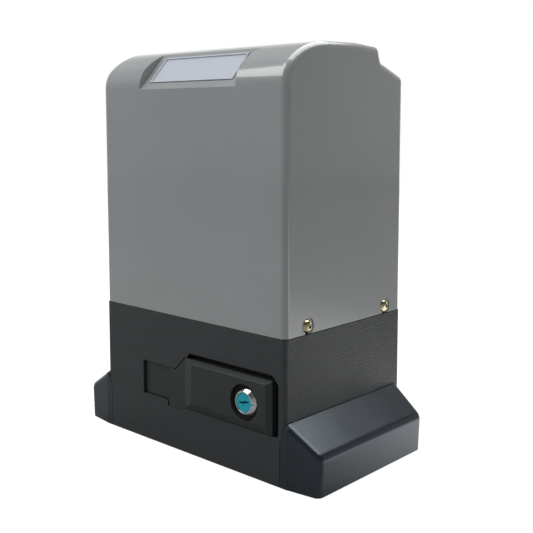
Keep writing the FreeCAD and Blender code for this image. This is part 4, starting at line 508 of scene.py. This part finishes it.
def carried_profile(path: np.ndarray, section: np.ndarray, up: np.ndarray, closed: bool) -> np.ndarray:
    """Carries a closed section along a path.

    Args:
        path: points of the path, one row each.
        section: the section's points (side, rise), one row each.
        up: for each path point, the direction that the section's rise takes.
        closed: whether the path's end joins its start.

    Returns:
        One row for each vertex: path point plus side times the sideways vector plus rise times up. The
        sideways vector is up crossed with the path's direction, from the neighbours' difference.
    """
    if closed:
        ahead = np.roll(path, -1, axis=0) - np.roll(path, 1, axis=0)
    else:
        ahead = np.gradient(path, axis=0)
    ahead /= np.linalg.norm(ahead, axis=1, keepdims=True)
    side = np.cross(up, ahead)
    side /= np.linalg.norm(side, axis=1, keepdims=True)
    points = path[:, None] + section[None, :, :1] * side[:, None] + section[None, :, 1:] * up[:, None]
    return points.reshape(-1, 3)


def wound_wire(path: np.ndarray, section: np.ndarray, up: np.ndarray, share: np.ndarray) -> Mesh:
    """Carries a closed section along an open path and closes both ends.

    Args:
        path: points of the path, one row each.
        section: the section's points (side, rise), one row each.
        up: for each path point, the direction that the section's rise takes.
        share: for each path point, how much of its size the section has there.

    Returns:
        Vertices and faces. A vertex is path point plus share times its distance from it in the carried
        profile. The path's two ends come last, each joined to its rim by a fan of triangles.
    """
    rows, columns = len(path), len(section)
    full = carried_profile(path, section, up, False).reshape(rows, columns, 3)
    points = path[:, None] + (full - path[:, None]) * share[:, None, None]
    rim, beyond = np.arange(columns), rows * columns
    after, last = np.roll(rim, -1), beyond - columns
    fans = [np.column_stack([np.full(columns, beyond), after, rim, rim]),
            np.column_stack([np.full(columns, beyond + 1), last + rim, last + after, last + after])]
    return (np.vstack([points.reshape(-1, 3), path[:1], path[-1:]]),
            np.vstack([grid_faces(rows, columns, False, True), *fans]))


def helix(angle: np.ndarray, radius: float, middle: np.ndarray,
          rise: np.ndarray) -> tuple[np.ndarray, np.ndarray]:
    """Points of a helix along Y.

    Args:
        angle: the angle of each point, in radians.
        radius: the distance of each point from the axis.
        middle: a point of the axis.
        rise: the Y of each point.

    Returns:
        The points and their spokes. A spoke is (cosine, 0, sine) of the angle, and a point is radius times
        its spoke plus the middle's X, its own rise and the middle's Z.
    """
    spoke = np.column_stack([np.cos(angle), np.zeros_like(angle), np.sin(angle)])
    axis = np.column_stack([np.full_like(rise, middle[0]), rise, np.full_like(rise, middle[2])])
    return spoke * radius + axis, spoke


def turned_ring(radius: np.ndarray, along: np.ndarray, angle: np.ndarray, centre: np.ndarray,
                axes: Axes) -> Mesh:
    """Turns a closed profile round an axis into a closed ring.

    Args:
        radius: the radius of each vertex in millimetres, as rows of angles by columns of profile points.
        along: its distance along the axis in millimetres, of the same shape.
        angle: the angle of each row, in radians.
        centre: the point that the axis starts at, in metres.
        axes: unit vectors for angle zero, for a quarter turn, and along the axis.

    Returns:
        Vertices and faces. A vertex is centre plus radius times (cosine times the first vector plus sine
        times the second) plus along times the third.
    """
    cosine, sine = np.cos(angle)[:, None, None], np.sin(angle)[:, None, None]
    spoke = cosine * axes[0] + sine * axes[1]
    points = centre + (radius * MM)[..., None] * spoke + (along * MM)[..., None] * axes[2]
    rows, columns = radius.shape
    return points.reshape(-1, 3), grid_faces(rows, columns, True, True)[:, ::-1]


def rounded_loop(corners: np.ndarray, radii: np.ndarray, steps: int) -> np.ndarray:
    """Rounds the corners of a closed outline.

    Args:
        corners: the corners, one row each.
        radii: how far from each corner its rounding starts.
        steps: points on each rounding.

    Returns:
        The outline's points. Each rounding is the curve (1 - u)^2 a + 2 u (1 - u) c + u^2 b between the
        points a and b that lie the corner's radius before and after the corner c.
    """
    before = np.roll(corners, 1, axis=0) - corners
    after = np.roll(corners, -1, axis=0) - corners
    start = corners + before / np.linalg.norm(before, axis=1, keepdims=True) * radii[:, None]
    end = corners + after / np.linalg.norm(after, axis=1, keepdims=True) * radii[:, None]
    u = np.linspace(0.0, 1.0, steps)[None, :, None]
    curve = (1 - u) ** 2 * start[:, None] + 2 * u * (1 - u) * corners[:, None] + u ** 2 * end[:, None]
    return curve.reshape(-1, corners.shape[1])


def round_section(radius: float, steps: int) -> np.ndarray:
    """Points of a round section: radius times (cosine, sine) of evenly spaced angles."""
    angle = np.linspace(0.0, FULL_TURN, steps, endpoint=False)
    return radius * np.column_stack([np.cos(angle), np.sin(angle)])


def middle_of(node: str) -> np.ndarray:
    """Centre of a CAD node's box, in metres."""
    low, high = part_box(node)
    return (np.array(low) + np.array(high)) / 2


@dataclass
class CoverShell:
    """The tall light grey cover, its pale field, its screws and the gasket in its seam. The gasket is a black bead
    that also serves as painted shade for the seam's groove.

    Lengths are in millimetres.
    """

    gasket_inset: float = 1.1
    gasket_radius: float = 0.3
    gasket_corner: float = 4.4
    gasket_bite: float = 0.04
    corner_steps: int = 16
    bead_steps: int = 10

    def build(self, dresser: Dresser) -> None:
        """Dresses the cover's nodes and lays the gasket, which is also painted shade in the seam.

        Args:
            dresser: gives the finishes.
        """
        dresser.dress(COVER_GREY, "top_cover")
        dresser.dress(PALE_FIELD, "label_panel")
        dresser.dress(YELLOW_ZINC, "cover_screws")
        self._gasket(dresser)

    def _gasket(self, dresser: Dresser) -> None:
        """Lays a round black rubber bead in the seam, partly a real gasket and partly painted shade for the seam's
        groove: a rounded rectangle carries a round section.

        Args:
            dresser: makes the piece.
        """
        low, high = (np.array(corner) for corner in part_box("top_cover"))
        side = high[0] - self.gasket_inset * MM
        back = high[1] - self.gasket_inset * MM
        corners = np.array([(-side, -back), (side, -back), (side, back), (-side, back)])
        flat = rounded_loop(corners, np.full(4, self.gasket_corner * MM), self.corner_steps)
        level = np.full(len(flat), low[2] - (self.gasket_radius - self.gasket_bite) * MM)
        path = np.column_stack([flat, level])
        section = round_section(self.gasket_radius * MM, self.bead_steps)
        points = carried_profile(path, section, np.tile((0.0, 0.0, 1.0), (len(path), 1)), True)
        faces = grid_faces(len(path), len(section), True, True)
        # painted shade: the black bead also stands in for the shadow in the seam's groove
        dresser.piece("cover_seam_gasket_and_shade", points, faces, NITRILE, "root")


class BaseCasting:
    """The charcoal base, the black feet and what stands on it."""

    def build(self, dresser: Dresser) -> None:
        """Dresses the base's nodes.

        Args:
            dresser: gives the finishes.
        """
        dresser.dress(CHARCOAL_CAST, "gearbox_housing")
        dresser.dress(FOOT_BLACK, "foot_cover_right", "foot_cover_left")
        dresser.dress(ZINC, "levelling_screws")


@dataclass
class ReleaseLever:
    """The keyed lever, its lock and the plunger that it pushes.

    Lengths are in millimetres and angles in radians. Heights are measured forwards from the lock's seat,
    and the bezel's rounding has one reach for each corner of its profile. The points stand closer in the
    sector round the mark.
    """

    bezel_inner: float = 7.75
    bezel_base: float = 11.5
    bezel_rim: float = 8.6
    bezel_skirt: float = 1.7
    bezel_height: float = 4.6
    bezel_rounding: tuple[float, ...] = (0.05, 0.1, 0.45, 0.4, 0.2)
    rounding_steps: int = 7
    mark_width: float = 1.0
    mark_depth: float = 1.6
    mark_fade: float = 0.1
    mark_sector: float = 0.12
    sector_steps: int = 61
    other_steps: int = 150
    # painted shade: the black ring below fills the dark gap round the bezel, which is the lock bore's shadow
    shade_ring_radius: float = 12.9
    shade_ring_width: float = 1.2
    shade_ring_height: float = 0.35
    shade_ring_steps: int = 120
    shade_ring_section_steps: int = 20

    def build(self, dresser: Dresser) -> None:
        """Dresses the lever's nodes, turns the bezel, and lays a black ring in the bore's gap round it as painted
        shade.

        Args:
            dresser: gives the finishes.
        """
        dresser.dress(LEVER_CHARCOAL, "release_lever")
        dresser.dress(TEAL, "lock_plug")
        dresser.dress(GROUND_STEEL, "lever_hinge_pin", "lock_shell", "lock_cam", "release_plunger")
        _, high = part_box("lock_bezel")
        centre = middle_of("lock_bezel")
        centre[1] = high[1]
        axes = (np.array((1.0, 0.0, 0.0)), np.array((0.0, 0.0, 1.0)), np.array((0.0, -1.0, 0.0)))
        self._bezel(dresser, centre, axes)
        # painted shade: a black ring laid where the lock bore's gap lies in shadow
        self._lay_shade_ring(dresser, centre, axes)

    def _bezel(self, dresser: Dresser, centre: np.ndarray, axes: Axes) -> None:
        """Turns the chrome bezel: a cone with softened edges and one mark cut across it.

        The mark lowers each point to height minus depth times a step that is one inside the mark's half
        width and falls to zero over the fade beside it.

        Args:
            dresser: makes the piece.
            centre: the middle of the lock's seat.
            axes: unit vectors for angle zero, for a quarter turn, and forwards.
        """
        corners = np.array([(self.bezel_inner, 0.0), (self.bezel_base, 0.0),
                            (self.bezel_base, self.bezel_skirt), (self.bezel_rim, self.bezel_height),
                            (self.bezel_inner, self.bezel_height)])
        loop = rounded_loop(corners, np.array(self.bezel_rounding), self.rounding_steps)
        sector = np.linspace(-self.mark_sector, self.mark_sector, self.sector_steps)
        others = np.linspace(self.mark_sector, FULL_TURN - self.mark_sector, self.other_steps)[1:-1]
        angle = np.concatenate([sector, others])
        radius = np.tile(loop[:, 0], (len(angle), 1))
        along = np.tile(loop[:, 1], (len(angle), 1))
        off = np.abs(np.sin(angle))[:, None] * radius
        inside = np.clip((self.mark_width / 2 + self.mark_fade - off) / self.mark_fade, 0.0, 1.0)
        inside *= np.cos(angle)[:, None] > 0
        along = np.minimum(along, self.bezel_height - self.mark_depth * inside)
        points, faces = turned_ring(radius, along, angle, centre, axes)
        made = dresser.piece("lock_bezel_turned", points, faces, CHROME, "lever")
        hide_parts("lock_bezel")

    def _lay_shade_ring(self, dresser: Dresser, centre: np.ndarray, axes: Axes) -> None:
        """Turns a flat black ring into the gap between the bezel and the lock's bore. It is painted shade where the
        bore's shadow falls: an oval section at a constant radius.

        Args:
            dresser: makes the piece.
            centre: the middle of the lock's seat.
            axes: unit vectors for angle zero, for a quarter turn, and forwards.
        """
        section = round_section(1.0, self.shade_ring_section_steps) * np.array((self.shade_ring_width, self.shade_ring_height))
        angle = np.linspace(0.0, FULL_TURN, self.shade_ring_steps, endpoint=False)
        radius = np.tile(self.shade_ring_radius + section[:, 0], (len(angle), 1))
        along = np.tile(self.shade_ring_height + section[:, 1], (len(angle), 1))
        points, faces = turned_ring(radius, along, angle, centre, axes)
        # painted shade: black rubber standing in for the shadow in the bore's gap
        dresser.piece("lock_shade_ring", points, faces, NITRILE, "lever")


@dataclass
class GearTrain:
    """Worm, wheel, clutch, output shaft, pinion and what holds them.

    Lengths are in millimetres. The spring's end turns rise by its closed pitch.
    """

    spring_wide: float = 3.2
    spring_thick: float = 2.2
    spring_edge: float = 0.35
    edge_steps: int = 4
    spring_turns: float = 6.0
    steps_per_turn: int = 48
    spring_closed_pitch: float = 2.3
    spring_left: float = 0.745

    def build(self, dresser: Dresser) -> None:
        """Dresses the gear train's nodes and winds the clutch's return spring.

        Args:
            dresser: gives the finishes.
        """
        dresser.dress(TIN_BRONZE, "worm_wheel")
        dresser.dress(GEAR_STEEL, "pinion", "clutch_dog", "worm_shaft")
        dresser.dress(GROUND_STEEL, "output_shaft", "clutch_pin", "pinion_key", "output_bearing_front",
                      "output_bearing_rear")
        dresser.dress(ZINC, "pinion_washer", "pinion_bolt", "output_cover_bolts", "chamber_screws",
                      "oil_plug")
        dresser.dress(CAST_ALUMINIUM, "output_cover", "chamber_plate")
        dresser.dress(GASKET, "output_cover_gasket")
        dresser.dress(NITRILE, "output_oil_seal")
        self._return_spring(dresser)

    def _return_spring(self, dresser: Dresser) -> None:
        """Winds the spring behind the dog ring.

        A helix along Y carries a flat wire with softened edges. The helix gains the closed pitch over the
        first and the last turn, and the rest of its length evenly over the turns between.

        Args:
            dresser: makes the piece.
        """
        low, high = (np.array(corner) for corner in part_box("clutch_spring"))
        middle = (low + high) / 2
        wide, thick = self.spring_wide * MM, self.spring_thick * MM
        coil_radius = (high[0] - low[0] - wide) / 2
        first, last = low[1] + thick / 2, high[1] - thick / 2
        closed = self.spring_closed_pitch * MM
        turn = np.linspace(0.0, self.spring_turns, int(self.spring_turns * self.steps_per_turn) + 1)
        rise = np.interp(turn, (0.0, 1.0, self.spring_turns - 1.0, self.spring_turns),
                         (first, first + closed, last - closed, last))
        path, spoke = helix(FULL_TURN * turn, coil_radius, middle, rise)
        corners = np.array([(-thick, -wide), (thick, -wide), (thick, wide), (-thick, wide)]) / 2
        section = rounded_loop(corners, np.full(4, self.spring_edge * MM), self.edge_steps)
        points, faces = wound_wire(path, section, spoke, np.ones(len(turn)))
        made = dresser.piece("clutch_spring_wound", points, faces, GROUND_STEEL, "output")
        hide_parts("clutch_spring")
        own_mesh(made)


@dataclass
class MotorUnit:
    """The induction motor under the cover.

    Lengths are in millimetres. The strands' depth is a share of the winding's own radius. The waves round
    the section and round the motor are those of a sine before it is squared.
    """

    head_height: float = 12.0
    head_inner: float = 33.0
    head_outer: float = 46.0
    strand_depth: float = 0.04
    section_waves: int = 9
    motor_waves: int = 12
    squareness: int = 4
    motor_steps: int = 240
    section_steps: int = 96

    def build(self, dresser: Dresser) -> None:
        """Dresses the motor's nodes and winds its coil heads.

        Args:
            dresser: gives the finishes.
        """
        dresser.dress(CAST_ALUMINIUM, "motor_bell_lower", "motor_bell_upper")
        dresser.dress(LAMINATION, "stator_core", "rotor_core")
        dresser.dress(ZINC, "motor_bolts")
        dresser.dress(GROUND_STEEL, "worm_bearing_lower", "worm_bearing_upper", "rotor_bearing_top",
                      "capacitor_strap")
        dresser.dress(CAN_WHITE, "run_capacitor")
        self._coil_heads(dresser)

    def _coil_heads(self, dresser: Dresser) -> None:
        """Winds both coil heads as one piece of two closed rings.

        The section is a rounded square, the fourth-power curve |x|^4 + |y|^4 = 1. It is drawn in by the
        strands' depth times the square of the sine of section_waves times its own angle plus
        motor_waves times the angle round the motor, so that its surface shows slanting strands.

        Args:
            dresser: makes the piece.
        """
        low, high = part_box("stator_windings")
        centre = middle_of("stator_windings")
        turn = np.linspace(0.0, FULL_TURN, self.motor_steps, endpoint=False)
        own = np.linspace(0.0, FULL_TURN, self.section_steps, endpoint=False)
        square = (np.cos(own) ** self.squareness + np.sin(own) ** self.squareness) ** (-1 / self.squareness)
        slant = self.section_waves * own[None] + self.motor_waves * turn[:, None]
        bundle = square * (1.0 - self.strand_depth * np.sin(slant) ** 2)
        half_width = (self.head_outer - self.head_inner) / 2
        radius = (self.head_outer + self.head_inner) / 2 + half_width * bundle * np.cos(own)
        rise = self.head_height / 2 * bundle * np.sin(own)
        axes = (np.array((1.0, 0.0, 0.0)), np.array((0.0, 1.0, 0.0)), np.array((0.0, 0.0, 1.0)))
        inset = self.head_height / 2 * MM
        heads, meshes = [], []
        for number, level in enumerate((low[2] + inset, high[2] - inset)):
            middle = np.array((centre[0], centre[1], level))
            points, faces = turned_ring(radius, rise, turn, middle, axes)
            heads.append(points)
            meshes.append(faces + number * len(points))
        made = dresser.piece("stator_coil_heads", np.vstack(heads), np.vstack(meshes), COPPER, "root")
        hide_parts("stator_windings")


@dataclass
class ControlSet:
    """The board on its tray, and the limit switch.

    Lengths are in millimetres. The coil starts and ends at its distances from the arm's two ends.
    """

    coil_pitch: float = 2.1
    wire_radius: float = 0.95
    coil_radius: float = 3.75
    coil_start: float = 17.0
    coil_end: float = 7.0
    steps_per_turn: int = 26
    wire_steps: int = 12
    taper_turn: float = 0.25
    least_share: float = 0.001

    def build(self, dresser: Dresser) -> None:
        """Dresses the controls' nodes and winds the limit switch's spring.

        Args:
            dresser: gives the finishes.
        """
        dresser.dress(BLACK_NYLON, "board_tray")
        dresser.dress(BOARD, "control_board")
        dresser.dress(ZINC, "board_screws")
        dresser.dress(LAMINATION, "transformer")
        dresser.dress(RELAY_BLUE, "relays")
        dresser.dress(TERMINAL_GREEN, "terminal_strip")
        dresser.dress(BLACK_NYLON, "limit_switch_case")
        dresser.dress(GROUND_STEEL, "limit_pivot_pin", "limit_spring_arm")
        self._limit_coil(dresser)

    def _limit_coil(self, dresser: Dresser) -> None:
        """Winds the spring on the arm: a helix along Y carries a round wire, whose ends taper shut.

        The wire's share of its radius is the square root of one minus (1 - t)^2, where t grows from zero
        to one over the taper at each end, and it stops at the least share.

        Args:
            dresser: makes the piece.
        """
        low, high = (np.array(corner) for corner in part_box("limit_spring_arm"))
        start, end = low[1] + self.coil_start * MM, high[1] - self.coil_end * MM
        turns = (end - start) / (self.coil_pitch * MM)
        turn = np.linspace(0.0, turns, int(turns * self.steps_per_turn))
        path, spoke = helix(FULL_TURN * turn, self.coil_radius * MM, (low + high) / 2,
                            start + turn * self.coil_pitch * MM)
        near_end = np.clip(np.minimum(turn, turns - turn) / self.taper_turn, 0.0, 1.0)
        share = np.sqrt(np.clip(1.0 - (1.0 - near_end) ** 2, self.least_share ** 2, 1.0))
        points, faces = wound_wire(path, round_section(self.wire_radius * MM, self.wire_steps), spoke, share)
        dresser.piece("limit_arm_coil", points, faces, GROUND_STEEL, "limit_arm")


@dataclass(frozen=True)
class Lamp:
    """A square area lamp: where it is, what it points at, and its side, all in metres, and its watts."""

    name: str
    spot: Place
    target: Place
    side: float
    watts: float

    def build(self) -> None:
        """Adds the lamp to the scene."""
        data = bpy.data.lights.new(self.name, "AREA")
        data.energy, data.size = self.watts, self.side
        made = bpy.data.objects.new(self.name, data)
        made.location = self.spot
        made.rotation_euler = (Vector(self.target) - Vector(self.spot)).to_track_quat("-Z", "Y").to_euler()
        bpy.context.scene.collection.objects.link(made)


@dataclass
class Studio:
    """Floor, lamps, sky and camera.

    Lengths are in metres, apart from the lens and the sensor in millimetres, and angles are in degrees.
    The floor's shine in mirrors grows over the Y of mirror_start and falls to mirror_rest over that of
    mirror_fade. The mirrored sky darkens upwards over sky_height, and brightens over sky_side towards the
    bright heading.
    """

    camera_at: Place = (0.5121, -0.538, 0.2713)
    yaw: float = -42.51
    tilt: float = 6.1
    lens: float = 58.76848
    sensor: float = 36.0
    shift: float = -0.10
    nearest: float = 0.01
    furthest: float = 50.0
    lamps: tuple[Lamp, ...] = (Lamp("key_lamp", (-0.45, -0.8, 1.15), (0.0, 0.0, 0.2), 1.0, 12.5),
                               Lamp("top_lamp", (0.0, 0.7, 2.05), (0.0, 0.0, 0.25), 2.05, 46.0))
    floor_size: float = 6.0
    floor_drop: float = 0.0002
    floor_tone: float = 0.26
    floor_roughness: float = 0.9
    floor_glow: float = 0.82
    floor_mirror: float = 1.7
    mirror_start: Span = (-0.08, 0.13)
    mirror_fade: Span = (0.15, 0.5)
    mirror_rest: float = 0.1
    base_inset: float = 0.006
    sky_level: float = 0.58
    bright_heading: Place = (-0.6, 0.8, 0.0)
    far_level: float = 0.3
    high_level: float = 0.35
    sky_height: Span = (0.2, 0.5)
    sky_side: Span = (0.1, 0.7)

    def build(self) -> None:
        """Sets up everything round the object."""
        self._camera()
        self._floor()
        self._sky()
        for lamp in self.lamps:
            lamp.build()

    def _camera(self) -> None:
        """Makes the camera: level heading by yaw, then tilted down."""
        data = bpy.data.cameras.new("camera")
        data.sensor_width, data.lens = self.sensor, self.lens
        data.shift_y = self.shift
        data.clip_start, data.clip_end = self.nearest, self.furthest
        made = bpy.data.objects.new("camera", data)
        made.location = self.camera_at
        made.rotation_euler = (math.radians(90.0 - self.tilt), 0.0, -math.radians(self.yaw))
        bpy.context.scene.collection.objects.link(made)
        bpy.context.scene.camera = made

    def _floor(self) -> None:
        """Makes the pale floor: one square just under the object, which glows where it is seen.

        In mirrors it glows by its Y: nothing up to the start, full behind it, and faded further back.
        """
        reach = self.floor_size / 2
        level = float(CAD_BOX[0].z) - self.floor_drop
        mesh = bpy.data.meshes.new("floor")
        mesh.from_pydata([(-reach, -reach, level), (reach, -reach, level), (reach, reach, level),
                          (-reach, reach, level)], [], [(0, 1, 2, 3)])
        made = bpy.data.objects.new("floor", mesh)
        bpy.context.scene.collection.objects.link(made)
        material = bpy.data.materials.new("pale_floor")
        material.use_nodes = True
        graph = Graph(material.node_tree)
        seen, mirrored = self._rays(graph)
        place = graph.node("SeparateXYZ", {0: graph.node("TexCoord").outputs["Object"]})
        rising = graph.remap(place.outputs["Y"], *self.mirror_start, 0.0, self.floor_mirror)
        falling = graph.remap(place.outputs["Y"], *self.mirror_fade, 1.0, self.mirror_rest)
        shine = graph.maths("MULTIPLY", mirrored, graph.maths("MULTIPLY", rising, falling))
        open_floor = graph.maths("MULTIPLY", seen, self._outside_base(graph, place))
        glow = graph.maths("MULTIPLY_ADD", open_floor, self.floor_glow, shine)
        graph.fill(material.node_tree.nodes["Principled BSDF"], {
            "Base Color": (*[self.floor_tone] * 3, 1.0), "Roughness": self.floor_roughness,
            "Specular IOR Level": 0.0, "Emission Color": WHITE, "Emission Strength": glow})
        mesh.materials.append(material)

    def _outside_base(self, graph: Graph, place: bpy.types.Node) -> bpy.types.NodeSocket:
        """Makes the mask that is one on the open floor and zero under the hollow base, so it stays dark.

        Args:
            graph: the floor material's graph.
            place: the node that separates the floor's coordinates.

        Returns:
            The mask: one minus the product of both tests, |distance from the middle| below half the side.
        """
        low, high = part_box("gearbox_housing")
        inside = []
        for axis, number in (("X", 0), ("Y", 1)):
            middle = (low[number] + high[number]) / 2
            half = (high[number] - low[number]) / 2 - self.base_inset
            away = graph.maths("ABSOLUTE", graph.maths("SUBTRACT", place.outputs[axis], middle))
            inside.append(graph.maths("LESS_THAN", away, half))
        return graph.maths("SUBTRACT", 1.0, graph.maths("MULTIPLY", *inside))

    @staticmethod
    def _rays(graph: Graph) -> tuple[bpy.types.NodeSocket, bpy.types.NodeSocket]:
        """Makes the masks of seen and of mirrored rays.

        Args:
            graph: the graph that the masks go into.

        Returns:
            The mask of rays from the camera, also through glass, and the mask of mirrored rays.
        """
        path = graph.node("LightPath")
        seen = graph.maths("MAXIMUM", path.outputs["Is Camera Ray"], path.outputs["Is Transmission Ray"])
        return seen, path.outputs["Is Glossy Ray"]

    def _sky(self) -> None:
        """Makes the sky: white where it is seen, softer as a lamp, and with one bright side for mirrors.

        A mirrored ray sees white at the horizon and the high level above it, and less of both away from the
        bright side, by the dot product of its heading with the direction to that side.
        """
        world = bpy.data.worlds.new("studio_sky")
        world.use_nodes = True
        graph = Graph(world.node_tree)
        seen, mirrored = self._rays(graph)
        heading = graph.node("TexCoord").outputs["Generated"]
        toward = graph.node("VectorMath", {0: heading, 1: self.bright_heading}, operation="DOT_PRODUCT")
        height = graph.node("SeparateXYZ", {0: heading}).outputs["Z"]
        lifted = graph.remap(height, *self.sky_height, 1.0, self.high_level)
        sided = graph.remap(toward.outputs["Value"], *self.sky_side, self.far_level, 1.0)
        mirror = graph.maths("MULTIPLY", lifted, sided)
        plain = graph.remap(seen, 0.0, 1.0, self.sky_level, 1.0)
        shown = graph.node("Mix", {0: mirrored, 2: plain, 3: mirror}, data_type="FLOAT").outputs[0]
        graph.fill(world.node_tree.nodes["Background"], {"Color": WHITE, "Strength": shown})
        bpy.context.scene.world = world


def main() -> None:
    """Builds the studio and every sub-assembly in order."""
    logging.basicConfig(level=logging.INFO, format="%(name)s: %(message)s")
    bpy.context.scene.view_settings.view_transform = "Standard"
    Studio().build()
    dresser = Dresser(Effects())
    for assembly in (CoverShell(), BaseCasting(), ReleaseLever(), GearTrain(), MotorUnit(), ControlSet()):
        LOG.info("building %s", type(assembly).__name__)
        assembly.build(dresser)


if __name__ == "__main__":
    main()
